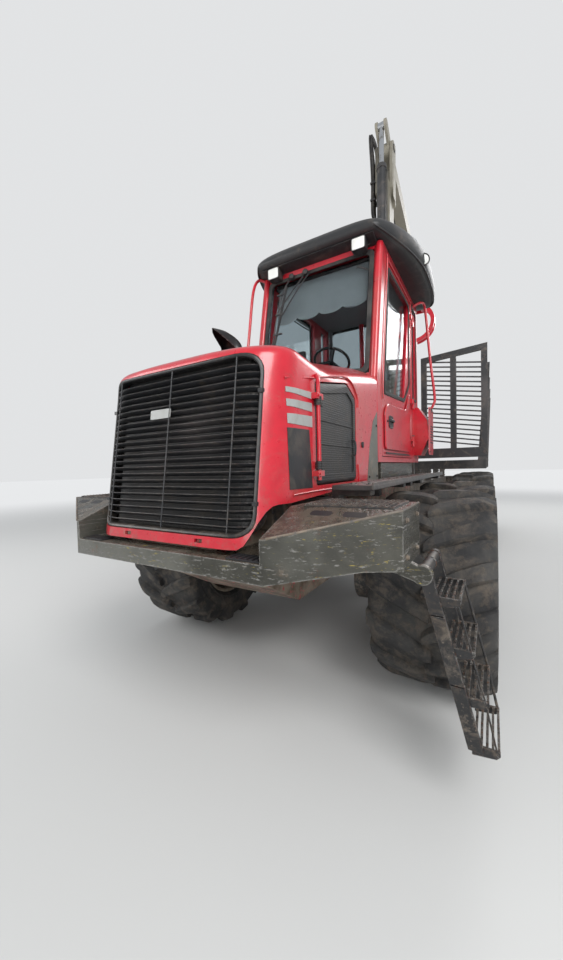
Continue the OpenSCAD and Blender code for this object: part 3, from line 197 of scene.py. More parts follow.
def paint(name, base, rough, coat, grime, wear, mud, mud_top=1.6, edge=0.006, fade=None):
    """Painted steel: faded patches, grime in blots, mud low down, worn edges, fine scratches."""
    n = Nodes(name)
    fade = fade or blend_to(base, (0.5, 0.42, 0.40), 0.22)
    colour = n.mix(n.both(n.blots(1.1, 0.48, 0.72, 3, 0.6), 0.7), base, fade)
    colour = n.mix(n.both(n.blots(9.0, 0.3, 0.75, 6, 0.7, bend=0.6), 0.35), colour, shade(base, 0.55))
    # Dirt: blots, dust on faces that look up, splashes low down and small drops
    blots = n.both(n.blots(5.0, 0.52, 0.70, 8, 0.72, bend=1.2), grime)
    up_faces = n.both(n.band(n.axes(n.normal())[2], 0.35, 0.95), 0.55 * grime)
    dirt = n.most(blots, n.both(up_faces, n.blots(14.0, 0.3, 0.62, 6, 0.7)))
    height = n.add(n.axes(n.place)[2], n.noise(3.0, 5, 0.7))
    low = n.band(height, mud_top + 0.7, mud_top - 0.5)
    splash = n.both(low, n.blots(22.0, 0.62 - 0.3 * mud, 0.80 - 0.3 * mud, 5, 0.75))
    dirt = n.most(dirt, n.both(splash, mud * 1.6))
    drops = n.both(n.band(n.cells(46.0), 0.20, 0.10), n.blots(2.2, 0.45, 0.62, 2), grime)
    dirt = n.math("MINIMUM", n.most(dirt, drops), 1.0)
    # Wear: chips on the edges and long scratches
    chipped = n.blots(38.0, 0.60 - 0.22 * wear, 0.68 - 0.18 * wear, 5, 0.75)
    chips = n.both(n.edges(edge), chipped, min(1.0, wear * 1.5))
    scratch_at = n.stretch((1.0, 1.0, 14.0), (20, 35, 10))
    worn = n.most(chips, n.both(n.blots(16.0, 0.69, 0.74, 3, 0.8, at=scratch_at), 0.6 * wear))
    colour = n.mix(worn, colour, n.mix(n.blots(60.0, 0.42, 0.6, 3), BARE_STEEL, RUST))
    colour = n.mix(dirt, colour, n.mix(n.blots(7.0, 0.35, 0.65, 4, 0.6), MUD, DRY_MUD))
    gloss = n.add(n.both(n.noise(30.0), 0.16), rough - 0.08)
    peel = n.bump(n.noise(240.0, 2), 0.0006, 0.5)
    relief = n.math("SUBTRACT", n.both(dirt, n.noise(90.0)), n.both(worn, 0.6))
    n.set(Base_Color=colour, Roughness=n.most(gloss, n.both(dirt, 0.88)), Coat_Weight=coat, Coat_Roughness=0.12,
          Metallic=0.0, Normal=n.bump(relief, 0.004, 0.6, peel))
    return n.mat


def scuffed_steel(name, base, streaks):
    """Weathered heavy steel: olive-grey, with scrapes of two colours, rust and caked mud."""
    n = Nodes(name)
    tone = n.mix(n.blots(4.0, 0.3, 0.7, 7, 0.7, bend=0.8), base, shade(base, 0.48))
    tone = n.mix(n.both(n.blots(1.6, 0.48, 0.68, 3), 0.45), tone, (0.20, 0.20, 0.175))
    scrape = n.blots(3.2, 0.565, 0.64, 4, 0.75, at=n.stretch((1.0, 7.0, 26.0), (8, 12, 0)))
    tone = n.mix(n.both(scrape, 0.55), tone, BARE_STEEL)
    streak = n.blots(2.1, 0.615, 0.665, 4, 0.8, at=n.stretch((2.0, 9.0, 40.0), (4, 14, 5)))
    tone = n.mix(n.both(streak, n.blots(2.4, 0.4, 0.6, 2), 0.75), tone, streaks)
    tone = n.mix(n.both(n.blots(11.0, 0.60, 0.72, 7, 0.78), 0.75), tone, RUST)
    tone = n.mix(n.both(n.edges(0.012), n.blots(30.0, 0.38, 0.52, 4, 0.7), 0.85), tone, BARE_STEEL)
    up_faces = n.both(n.band(n.axes(n.normal())[2], 0.4, 0.9), n.blots(10.0, 0.36, 0.58, 6, 0.7))
    cake = n.most(n.both(up_faces, 0.55), n.both(n.blots(6.5, 0.58, 0.74, 6, 0.7), 0.6))
    tone = n.mix(cake, tone, n.mix(n.noise(20.0), MUD, DRY_MUD))
    height = n.add(n.noise(120.0, 5, 0.7), n.add(n.both(cake, 1.6), n.both(scrape, -0.8)))
    n.set(Base_Color=tone, Roughness=n.add(n.both(n.noise(24.0), 0.3), n.both(cake, 0.3)), Metallic=0.25,
          Normal=n.bump(height, 0.0025, 0.8))
    return n.mat


def rubber(name, base, mud):
    """Tyre rubber: matt black with a grey bloom, mud packed between the lugs and a dried film."""
    n = Nodes(name)
    tone = n.mix(n.blots(3.0, 0.35, 0.7, 5, 0.65), base, (0.052, 0.050, 0.047))
    tone = n.mix(n.both(n.blots(5.5, 0.46, 0.66, 7, 0.72, bend=0.7), mud), tone, shade(DRY_MUD, 0.72))
    lumps = n.both(n.blots(13.0, 0.50, 0.63, 8, 0.75), mud)
    tone = n.mix(lumps, tone, n.mix(n.noise(30.0), MUD, shade(DRY_MUD, 0.7)))
    height = n.add(n.both(lumps, n.noise(60.0, 5, 0.7), 3.0), n.noise(300.0, 2))
    n.set(Base_Color=tone, Roughness=n.add(n.both(n.noise(50.0, 3), 0.2), 0.62), Normal=n.bump(height, 0.004, 0.7))
    return n.mat


def glass(name, tint):
    n = Nodes(name)
    smear = n.blots(4.0, 0.42, 0.75, 6, 0.7, bend=1.0)
    n.set(Base_Color=n.mix(n.both(smear, 0.12), tint, shade(tint, 0.5)), Roughness=n.add(n.both(smear, 0.10), 0.02),
          Transmission_Weight=1.0, IOR=1.12, Normal=n.bump(n.noise(2.0, 2), 0.002, 0.15))
    return n.mat


def chrome(name):
    n = Nodes(name)
    lines = n.noise(60.0, 3, 0.6, at=n.stretch((1, 1, 0.05)))
    n.set(Base_Color=n.mix(n.blots(9.0, 0.5, 0.7, 5), (0.62, 0.63, 0.65), (0.36, 0.35, 0.33)),
          Roughness=n.add(n.both(lines, 0.15), 0.10), Metallic=1.0, Normal=n.bump(lines, 0.0003, 0.3))
    return n.mat


def plastic(name, base, rough=0.45, grain=320.0, dust=0.35):
    """Moulded plastic with a fine grain and some dust."""
    n = Nodes(name)
    settled = n.both(n.blots(6.0, 0.46, 0.70, 7, 0.72, bend=0.8), dust)
    n.set(Base_Color=n.mix(settled, base, blend_to(base, DRY_MUD, 0.55)), Roughness=n.add(n.both(settled, 0.35), rough),
          Normal=n.bump(n.add(n.cells(grain), n.both(settled, 0.6)), 0.0006, 0.5))
    return n.mat


def cloth(name, base):
    """Woven seat cloth."""
    n = Nodes(name)
    weave = n.both(n.waves(220.0, 0.3), n.waves(220.0, 0.3, "Z"))
    n.set(Base_Color=n.mix(weave, shade(base, 0.6), blend_to(base, (0.5, 0.5, 0.5), 0.12)), Roughness=0.9,
          Sheen_Weight=0.25, Normal=n.bump(weave, 0.0012, 0.6))
    return n.mat


def lamp_face(name, base):
    """Ribbed clear lamp face with a bright reflector behind it."""
    n = Nodes(name)
    ribs = n.waves(42.0, way="Y")
    n.set(Base_Color=n.mix(n.both(ribs, 0.35), base, shade(base, 0.62)), Roughness=0.14, Coat_Weight=0.6,
          Normal=n.bump(ribs, 0.003, 0.6))
    return n.mat


def mesh_plate(name, base, pitch):
    """Dark painted plate pierced with small round holes in rows."""
    n = Nodes(name)
    x, y, z = n.axes(n.make("VectorMath", 0, {0: n.place, "Scale": 1.0 / pitch}, operation="SCALE"))
    rows = [n.math("ABSOLUTE", n.math("SINE", n.both(a, math.pi))) for a in (n.add(x, y), z)]
    hole = n.band(n.both(*rows), 0.42, 0.60)
    dust = n.both(n.blots(5.0, 0.45, 0.70, 7, 0.7, bend=0.8), 0.55)
    tone = n.mix(dust, base, blend_to(base, DRY_MUD, 0.45))
    tone = n.mix(n.both(n.blots(1.4, 0.4, 0.7, 3), 0.35), tone, (0.075, 0.068, 0.062))
    n.set(Base_Color=n.mix(n.both(hole, 0.85), tone, shade(base, 0.18)), Roughness=n.add(n.both(dust, 0.3), 0.5),
          Normal=n.bump(n.both(hole, -1.0), 0.003, 0.8))
    return n.mat


# Colours, linear
RED = (0.56, 0.010, 0.026)
RED_FADED = (0.50, 0.065, 0.06)
BLACK = (0.014, 0.014, 0.015)
CHARCOAL = (0.028, 0.029, 0.031)
OLIVE = (0.070, 0.068, 0.055)
STREAK_YELLOW = (0.46, 0.36, 0.05)
BOOM_BEIGE = (0.27, 0.25, 0.20)

# Paints by look: material name, colour, roughness, coat, grime, wear, mud, and the mud's top, edge and fading
PAINTS = {
    "red": ("red_paint", RED, 0.30, 0.5, 0.30, 0.35, 0.5, 1.6, 0.006, RED_FADED),
    "red_frame": ("red_frame_paint", shade(RED, 0.75), 0.45, 0.1, 0.7, 0.7, 0.95, 1.9),
    "black": ("black_paint", BLACK, 0.42, 0.1, 0.35, 0.5, 0.55),
    "roof": ("roof_paint", shade(CHARCOAL, 0.7), 0.48, 0.06, 0.3, 0.15, 0.1, 1.6, 0.003),
    "dark": ("dark_paint", CHARCOAL, 0.48, 0.05, 0.5, 0.75, 0.8),
    "boom": ("boom_paint", BOOM_BEIGE, 0.5, 0.0, 0.45, 0.6, 0.2),
    "cast": ("cast_iron", (0.06, 0.062, 0.065), 0.6, 0.0, 0.7, 0.4, 0.9, 1.8),
    "ladder": ("ladder_paint", (0.016, 0.016, 0.017), 0.5, 0.0, 0.6, 0.7, 0.45, 1.1),
    "slat": ("slat_paint", (0.022, 0.023, 0.026), 0.42, 0.1, 0.3, 0.55, 0.55, 1.2, 0.003),
    "bare_grey": ("grey_flank", (0.135, 0.14, 0.125), 0.55, 0.0, 0.8, 0.8, 0.7, 1.9),
    "rim": ("rim_paint", (0.26, 0.25, 0.235), 0.5, 0.0, 0.8, 0.8, 0.95, 1.5),
    "hub": ("hub_paint", (0.07, 0.07, 0.072), 0.5, 0.0, 0.8, 0.6, 0.9, 1.4),
}
MATS = {look: paint(*values) for look, values in PAINTS.items()}
MATS.update({
    "olive": scuffed_steel("olive_steel", OLIVE, STREAK_YELLOW),
    "tyre": rubber("tyre_rubber", (0.016, 0.016, 0.017), 0.42),
    "hose": rubber("hose_rubber", (0.012, 0.012, 0.013), 0.25),
    "seal": rubber("seal_rubber", (0.010, 0.010, 0.011), 0.12),
    "glass": glass("cab_glass", (0.66, 0.72, 0.74)),
    "chrome": chrome("rod_chrome"),
    "plastic": plastic("black_plastic", (0.020, 0.020, 0.022)),
    "grey_plastic": plastic("grey_plastic", (0.16, 0.16, 0.17)),
    "faded": plastic("faded_mark", (0.52, 0.20, 0.20), 0.5, 40.0, 0.3),
    "stripe": plastic("pale_grey_plate", (0.34, 0.35, 0.34), 0.4, 60.0, 0.6),
    "cloth": cloth("seat_cloth", (0.035, 0.036, 0.042)),
    "blind": cloth("blind_cloth", (0.42, 0.43, 0.44)),
    "lamp": lamp_face("lamp_lens", (0.86, 0.87, 0.83)),
    "hatch": mesh_plate("hatch_mesh", (0.030, 0.030, 0.032), 0.014),
    "mesh": mesh_plate("radiator_mesh", (0.012, 0.012, 0.013), 0.009),
})

CAD_EDGE = 0.006
# What each material slot of the record looks like
SLOT_LOOK = {
    "red_paint": "red", "black_paint": "black", "dark_paint": "dark", "boom_paint": "boom", "olive_steel": "olive",
    "cast_metal": "cast", "cab_glass": "glass", "seat_cover": "cloth", "lamp_lens": "lamp", "rod_chrome": "chrome",
    "tyre_rubber": "tyre",
}
LOOK_SLOT = {look: slot for slot, look in SLOT_LOOK.items()}
LOOK_SLOT.update({"red_frame": "red_paint", "roof": "black_paint", "hose": "tyre_rubber", "seal": "tyre_rubber",
                  "plastic": "black_paint", "blind": "seat_cover", "faded": "red_paint"})
NODE_LOOK = {"front_frame": "red_frame", "cab_roof": "roof", "main_boom": "boom", "crane_pillar": "boom"}
SLOT_OF = {p["node"]: p["material_slot"] for p in frame["record"]["subparts"]}


def round_edges(obj, width, angle=32, weld=False):
    """Rounds the sharp edges of a piece and keeps its flat faces flat."""
    if weld:
        obj.modifiers.new("weld", "WELD").merge_threshold = 0.0001
        flat = obj.modifiers.new("flat", "DECIMATE")
        flat.decimate_type = "DISSOLVE"
        flat.angle_limit = math.radians(0.3)
    if width > 0:
        cut = obj.modifiers.new("edges", "BEVEL")
        cut.width = width
        cut.segments = 2
        cut.limit_method = "ANGLE"
        cut.angle_limit = math.radians(angle)
        cut.use_clamp_overlap = True
        cut.harden_normals = True
    obj.data.shade_smooth()
    obj.data.set_sharp_from_angle(angle=math.radians(angle))


def dress_cad():
    """Every CAD node that stays gets its finish and softened edges."""
    for name, obj in nodes.items():
        obj.data.materials.clear()
        obj.data.materials.append(MATS[NODE_LOOK.get(name, SLOT_LOOK[SLOT_OF[name]])])
        if "custom_normal" in obj.data.attributes:
            obj.data.attributes.remove(obj.data.attributes["custom_normal"])
        thin = name in ("cab_windows", "door_window", "grille")
        round_edges(obj, 0.0 if thin else CAD_EDGE, weld=not thin)


# Shapes
SIDES = ((1, "left"), (-1, "right"))


def turns(count):
    """Angles all the way round."""
    return [math.tau * k / count for k in range(count)]


def spread(first, last, count):
    """Evenly spaced values with both ends."""
    return [first + (last - first) * i / count for i in range(count + 1)]


def ease(t):
    """A smooth step from 0 to 1."""
    t = min(1.0, max(0.0, t))
    return t * t * (3 - 2 * t)


def smooth_path(points, steps):
    """Points on a smooth curve through the given ones."""
    pts = [Vector(p) for p in points]
    out = []
    for i in range(len(pts) - 1):
        a, b = pts[i], pts[i + 1]
        before = pts[i - 1] if i else a * 2 - b
        after = pts[i + 2] if i + 2 < len(pts) else b * 2 - a
        for k in range(steps):
            t = k / steps
            out.append(0.5 * (2 * a + (b - before) * t + (2 * before - 5 * a + 4 * b - after) * t * t
                              + (3 * a - before - 3 * b + after) * t ** 3))
    return out + [pts[-1]]


def rounded(outline, radius, count=4):
    """A closed plane outline with its corners rounded."""
    out = []
    total = len(outline)
    for i, p in enumerate(outline):
        p = Vector(p)
        a, b = Vector(outline[i - 1]) - p, Vector(outline[(i + 1) % total]) - p
        reach = min(radius, a.length * 0.48, b.length * 0.48)
        first, last = p + a.normalized() * reach, p + b.normalized() * reach
        out += [tuple(first * (1 - t) ** 2 + p * 2 * t * (1 - t) + last * t * t) for t in spread(0, 1, count)]
    return out


def oblong(a, b, radius, count):
    """A rounded rectangle over two spans."""
    return rounded([(a[0], b[0]), (a[1], b[0]), (a[1], b[1]), (a[0], b[1])], radius, count)


def scaled(outline, centre, share, share_b=None):
    """A plane outline drawn in towards a centre."""
    share_b = share if share_b is None else share_b
    return [(centre[0] + (a - centre[0]) * share, centre[1] + (b - centre[1]) * share_b) for a, b in outline]


def circle(centre, radius, across, other, count):
    return [centre + radius * (across * math.cos(a) + other * math.sin(a)) for a in turns(count)]


def on_axis(axis, along, a, b):
    """A 3-D point from its place along an axis and its two other coordinates in order."""
    return {"x": (along, a, b), "y": (a, along, b), "z": (a, b, along)}[axis]


class Shape:
    """Points and faces gathered into one piece; look is the number of the material in use."""

    def __init__(self):
        self.points, self.faces, self.looks, self.look = [], [], [], 0

    def add(self, points, faces):
        at = len(self.points)
        self.points += [tuple(p) for p in points]
        self.faces += [tuple(at + i for i in f) for f in faces]
        self.looks += [self.look] * len(faces)
        return self

    def loft(self, rings, caps=True, closed=True):
        """Skin over rings that all have the same number of points."""
        count = len(rings[0])
        span = count if closed else count - 1
        faces = [(r * count + i, r * count + (i + 1) % count, (r + 1) * count + (i + 1) % count, (r + 1) * count + i)
                 for r in range(len(rings) - 1) for i in range(span)]
        if caps:
            faces += [tuple(range(count))[::-1], tuple((len(rings) - 1) * count + i for i in range(count))]
        return self.add([p for ring in rings for p in ring], faces)

    def hoop(self, rings):
        """Skin over rings whose last joins the first."""
        return self.loft(rings + [rings[0]], caps=False)

    def prism(self, outline, low, high, axis="y"):
        return self.loft([[on_axis(axis, h, *p) for p in outline] for h in (low, high)])

    def box(self, *spans):
        x, y, z = (sorted(span) for span in spans)
        return self.prism([(x[0], y[0]), (x[1], y[0]), (x[1], y[1]), (x[0], y[1])], *z, "z")

    def tube(self, path, radius, sides, caps=True, flat=1.0, closed=False):
        """A tube along a path; radius may be a list, flat squashes its section."""
        pts = [Vector(p) for p in path]
        sizes = radius if isinstance(radius, list) else [radius] * len(pts)
        rings, across = [], None
        for i, p in enumerate(pts):
            ahead = pts[(i + 1) % len(pts)] if closed or i + 1 < len(pts) else p
            behind = pts[i - 1] if closed or i else p
            way = (ahead - behind).normalized()
            if across is None:
                across = way.cross(Vector((0, 0, 1)) if abs(way.z) < 0.9 else Vector((0, 1, 0))).normalized()
            across = (across - way * across.dot(way)).normalized()
            rings.append(circle(p, sizes[i], across, way.cross(across) * flat, sides))
        return self.hoop(rings) if closed else self.loft(rings, caps)

    def curve(self, points, steps, radius, sides, **more):
        """A tube along a smooth curve."""
        return self.tube(smooth_path(points, steps), radius, sides, **more)

    def turn(self, profile, centre, axis, sides, caps=True):
        """A turned form: profile is a list of (radius, place along the axis)."""
        c = Vector(centre)
        return self.loft([[c + Vector(on_axis(axis, along, radius * math.cos(a), radius * math.sin(a)))
                           for a in turns(sides)] for radius, along in profile], caps)

    def bolt(self, at, axis, size, side):
        """A hexagon head on a washer, standing on a face."""
        high = side * size
        self.turn([(size * 1.35, 0), (size * 1.35, high * 0.25)], at, axis, 14)
        self.turn([(size, high * 0.2), (size, high), (size * 0.8, high * 1.12)], at, axis, 6)

    def bolts(self, xs, ys, zs, axis, size, side=1):
        """Bolts at every crossing of three lists of coordinates."""
        for at in itertools.product(xs, ys, zs):
            self.bolt(at, axis, size, side)

    def bolt_ring(self, centre, radius, count, axis, size, side=1, start=0.0):
        for a in turns(count):
            at = on_axis(axis, 0, radius * math.cos(a + start), radius * math.sin(a + start))
            self.bolt(Vector(centre) + Vector(at), axis, size, side)

    def sheet(self, rows, thick=0.0, way=(0, 0, 1)):
        """A grid of points, thickened along a direction."""
        if not thick:
            return self.loft(rows, caps=False, closed=False)
        push = Vector(way).normalized() * thick
        back = [[Vector(p) + push for p in row] for row in rows]
        return self.loft([list(a) + list(b)[::-1] for a, b in zip(rows, back)])


def bake(obj):
    """Turns a piece's modifiers into plain mesh."""
    bpy.context.view_layer.update()
    graph = bpy.context.evaluated_depsgraph_get()
    mesh = bpy.data.meshes.new_from_object(obj.evaluated_get(graph))
    obj.modifiers.clear()
    obj.data = mesh


def face_out(obj, merge=0.0, upward=False):
    """Merges points that coincide and turns all faces outward."""
    work = bmesh.new()
    work.from_mesh(obj.data)
    if merge:
        bmesh.ops.remove_doubles(work, verts=work.verts, dist=merge)
    bmesh.ops.recalc_face_normals(work, faces=work.faces)
    if upward and sum(f.normal.z for f in work.faces) < 0:
        bmesh.ops.reverse_faces(work, faces=work.faces)
    work.to_mesh(obj.data)
    work.free()


def loose(name, shape, looks=""):
    mesh = bpy.data.meshes.new(name)
    mesh.from_pydata(shape.points, [], shape.faces)
    mesh.validate()
    for look in looks.split():
        mesh.materials.append(MATS[look])
    if any(shape.looks) and len(mesh.polygons) == len(shape.looks):
        mesh.polygons.foreach_set("material_index", shape.looks)
    obj = bpy.data.objects.new(name, mesh)
    bpy.context.scene.collection.objects.link(obj)
    face_out(obj)
    return obj


def carve(obj, shape):
    """Cuts a shape out of a piece."""
    cutter = loose("cutter", shape)
    cut = obj.modifiers.new("cut", "BOOLEAN")
    cut.operation = "DIFFERENCE"
    cut.solver = "EXACT"
    cut.object = cutter
    bake(obj)
    bpy.data.objects.remove(cutter)


def piece(name, body, looks, shape, edge=0.003, angle=34, stands_for=None):
    """Makes a piece with the materials of its looks, softens its edges and lets it ride on its body."""
    obj = shape if isinstance(shape, bpy.types.Object) else loose(name, shape, looks)
    obj.name = name
    round_edges(obj, edge, angle=angle)
    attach(obj, body)
    if stands_for:
        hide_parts(stands_for)
    return obj


def mirrored(points):
    return [(p[0], -p[1], p[2]) for p in points]


dress_cad()


# Wheels: a chevron tyre on a dished steel rim, about the wheel's own axis, outer side towards +Y
TYRE_R = 0.7
TYRE_HW = 0.375
OVER_TYRES_HW = 1.54
TREAD_HW = 0.27
SHOULDER = 0.10
CARCASS_R = 0.650
LUGS = 15


def lug_height(v):
    """Radius of a lug's top across the tread."""
    if v < TREAD_HW:
        return TYRE_R - 0.0005 - 0.010 * (v / TREAD_HW) ** 2
    return TYRE_R - 0.0105 - 0.047 * ((v - TREAD_HW) / SHOULDER) ** 1.6


def carcass_height(v):
    if v < TREAD_HW:
        return CARCASS_R - 0.006 * (v / TREAD_HW) ** 2
    return CARCASS_R - 0.006 - 0.070 * ((v - TREAD_HW) / SHOULDER) ** 2


def on_tread(radius, around, v):
    """A point of the wheel: forward, out and up; around is measured upwards at the front of the tread."""
    turn = around / TYRE_R
    return (radius * math.cos(turn), v, radius * math.sin(turn))


def add_lug(shape, start, side, seed):
    """One lug, from just past the middle line out over the shoulder, rising towards its outer end."""
    chance = random.Random(seed)
    rings = []
    for t in spread(0, 1, 12):
        v = -0.022 + 0.390 * t
        around = start + 0.20 * (t ** 0.82) - 0.095
        wide = 0.036 + 0.022 * t + 0.006 * math.sin(3.1 * t)
        if t == 0:
            wide *= 0.72
        wear = chance.uniform(-0.0035, 0.0)
        top, low = lug_height(abs(v)) + wear, carcass_height(abs(v)) - 0.012
        half = [(wide + 0.013, low), (wide + 0.004, top - 0.016), (wide - 0.010, top)]
        section = [(-a, r) for a, r in half] + [(0, top)] + half[::-1]
        if t == 0:
            section = [(a, min(r, top - 0.010)) for a, r in section]
        rings.append([on_tread(r, around + a + chance.uniform(-0.0015, 0.0015), side * v) for a, r in section])
    rings.append([(p[0] * 0.93, side * (TYRE_HW - 0.004), p[2] * 0.93) for p in rings[-1]])
    shape.loft(rings)


# Half of the tyre's section, the rim and hub: radius and place across
TYRE_HALF = [
    (0.352, 0.300), (0.372, 0.318), (0.392, 0.334), (0.400, 0.352), (0.412, 0.360), (0.424, 0.358), (0.436, 0.366),
    (0.455, 0.3705), (0.500, 0.3735), (0.506, 0.3705), (0.512, 0.3735), (0.545, 0.372), (0.552, 0.3685),
    (0.560, 0.370), (0.590, 0.366), (0.612, 0.352), (0.632, 0.325), (0.643, 0.290), (0.648, 0.20), (0.650, 0.08)]
RIM_LIP = [(0.350, 0.296), (0.376, 0.312), (0.378, 0.328), (0.368, 0.336), (0.352, 0.330), (0.338, 0.290)]
RIM_OUTER = RIM_LIP + [(0.326, 0.200), (0.318, 0.110), (0.305, 0.070), (0.288, 0.058), (0.262, 0.052), (0.245, 0.060),
                       (0.205, 0.060), (0.0, 0.060)]
RIM_INNER = [(r, -v) for r, v in RIM_LIP] + [(0.322, -0.150), (0.312, -0.020), (0.300, 0.020), (0.205, 0.030)]
HUB_OUTER = [(0.196, 0.058), (0.196, 0.078), (0.186, 0.084), (0.166, 0.086), (0.160, 0.094), (0.158, 0.132),
             (0.150, 0.143), (0.136, 0.147), (0.070, 0.149), (0.066, 0.144), (0.0, 0.144)]
HUB_INNER = [(0.190, 0.040), (0.190, -0.300), (0.182, -0.322), (0.150, -0.330)]


def wheel_shape():
    shape = Shape()
    outline = TYRE_HALF + [(r, -v) for r, v in TYRE_HALF[::-1]]
    shape.loft([[(r * math.cos(a), v, r * math.sin(a)) for r, v in outline] for a in spread(0, math.tau, 90)], caps=False)
    pitch = math.tau * TYRE_R / LUGS
    for i in range(LUGS):
        add_lug(shape, (i - 0.25) * pitch, 1, i)
        add_lug(shape, (i + 0.25) * pitch, -1, i + 50)
    middle = (0, 0, 0)
    shape.look = 1
    shape.turn(RIM_OUTER, middle, "y", 60, caps=False)
    shape.turn(RIM_INNER, middle, "y", 60, caps=False)
    shape.look = 2
    shape.turn(HUB_OUTER, middle, "y", 40, caps=False)
    shape.turn(HUB_INNER, middle, "y", 40, caps=False)
    shape.bolt_ring((0, 0.060, 0), 0.226, 12, "y", 0.015)
    shape.bolt_ring((0, 0.084, 0), 0.176, 16, "y", 0.0075, start=math.pi / 16)
    shape.bolt_ring((0, 0.1475, 0), 0.100, 3, "y", 0.007, start=0.4)
    # Valve with its guard
    shape.curve([(0.330, 0.215, 0), (0.312, 0.232, 0), (0.306, 0.262, 0)], 4, 0.006, 8)
    shape.curve([(0.333, 0.200, 0.030), (0.290, 0.215, 0.030), (0.290, 0.215, -0.030), (0.333, 0.200, -0.030)], 4, 0.006, 6)
    return shape


def make_wheels():
    base = wheel_shape()
    for name in [n for n in nodes if n.startswith("wheel_")]:
        lo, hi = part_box(name)
        middle = (lo + hi) / 2
        side = 1 if middle.y > 0 else -1
        hub = Vector((middle.x, side * (OVER_TYRES_HW - TYRE_HW), TYRE_R))
        placed = Shape()
        placed.add([(hub.x + p[0], hub.y + side * p[1], hub.z + p[2]) for p in base.points], base.faces)
        placed.looks = list(base.looks)
        piece(name + "_tyre", body_of_node[name], "tyre rim hub", placed, edge=0, angle=38, stands_for=name)


make_wheels()


# Hood: sizes of its outer form
HOOD_HW = 0.650
NOSE_X = 5.250
NOSE_Z = 1.210
LEAN = 0.1375
CORNER_R = 0.250
HOOD_REAR = 3.420
SIDE_LOW = 1.410
SHOULDER_R = 0.055
CREST_SOFT = 0.03
EXHAUST_AT = (4.07, -0.43, 0)
HOOD_SHEET = 0.028
# Side hatch outline, in x and z
HATCH = [(3.990, 1.480), (4.680, 1.480), (4.680, 2.070), (4.170, 2.160), (3.990, 2.080)]


def nose_at(z):
    return NOSE_X - LEAN * (z - NOSE_Z)


def side_y(x, z):
    """Half width of the hood's outer face at a place on its side or front corner."""
    back = max(0.0, nose_at(z) - x)
    if back >= CORNER_R:
        return HOOD_HW
    return HOOD_HW - CORNER_R + math.sqrt(max(0.0, CORNER_R ** 2 - (CORNER_R - back) ** 2))


def on_side(x, z, side, out=0.0):
    return (x, side * (side_y(x, z) + out), z)


def nose_x(y, z, inset=0.0):
    """The nose's outer face at a half width, or a layer inside it."""
    over = max(0.0, abs(y) - (HOOD_HW - CORNER_R))
    radius = CORNER_R - inset
    return nose_at(z) - inset - (radius - math.sqrt(max(0.0, radius ** 2 - min(over, radius) ** 2)))


def crown_z(x, y):
    """Height of the hood's top; it flattens across its width towards the nose."""
    across = abs(y) / HOOD_HW
    crest = 2.540 - 0.186 * (x - HOOD_REAR) - (0.190 - 0.150 * ease((x - 4.35) / 0.75)) * across ** 2.2
    front = 2.112 + (5.300 - x) * 0.56 - 0.05 * across ** 4
    return min(crest, front) - CREST_SOFT * max(0.0, 1 - abs(crest - front) / (4 * CREST_SOFT)) ** 2


def hood_columns():
    """Stations of the left half from the nose's middle to the rear: x, y and lean, the x the top aims at, the foot."""
    nose = [(0.0, y, 0.30, NOSE_Z) for y in (0.0, 0.10, 0.20, 0.29)]
    for k in range(1, 13):
        a = math.radians(90 * k / 12)
        y = HOOD_HW - CORNER_R + CORNER_R * math.sin(a)
        low = NOSE_Z + (SIDE_LOW - NOSE_Z) * ease((y - 0.50) / 0.13)
        nose.append((CORNER_R * (1 - math.cos(a)), y, 0.30 + 0.15 * k / 12, low))
    columns = [(NOSE_X - back, y, LEAN, NOSE_X - 0.13 - reach, low) for back, y, reach, low in nose]
    for t in spread(0, 1, 14)[1:]:
        x = (NOSE_X - CORNER_R) + (HOOD_REAR - NOSE_X + CORNER_R) * t
        aim = (NOSE_X - 0.58) + (HOOD_REAR - NOSE_X + 0.58) * t
        columns.append((x, HOOD_HW, LEAN * (1 - t) ** 2, aim, SIDE_LOW + 0.02 * min(1, 3 * t)))
    return columns


def hood_rows():
    """Points up the wall, round the shoulder and over the top, for each station."""
    rows = []
    for x, y, lean, aim, low in hood_columns():
        def wall_x(z):
            return x - lean * (z - NOSE_Z)

        top = crown_z(wall_x(2.0), y)
        for _ in range(4):
            top = crown_z(wall_x(top), y)
        edge = Vector((wall_x(top), y))
        inward = Vector((aim, 0.0)) - edge
        reach = inward.length
        way = inward / reach
        col = [(wall_x(z), y, z) for z in spread(low, top - SHOULDER_R, 10)]
        foot, tip = Vector(col[-1]), Vector((edge.x, edge.y, top))
        p = edge + way * SHOULDER_R
        head = Vector((p.x, p.y, crown_z(p.x, p.y)))
        col += [tuple(foot * (1 - t) ** 2 + tip * 2 * t * (1 - t) + head * t * t) for t in spread(0, 1, 5)[1:]]
        for s in spread(SHOULDER_R, reach, 10)[1:]:
            q = edge + way * s
            col.append((q.x, q.y, crown_z(q.x, q.y)))
        rows.append(col)
    return rows


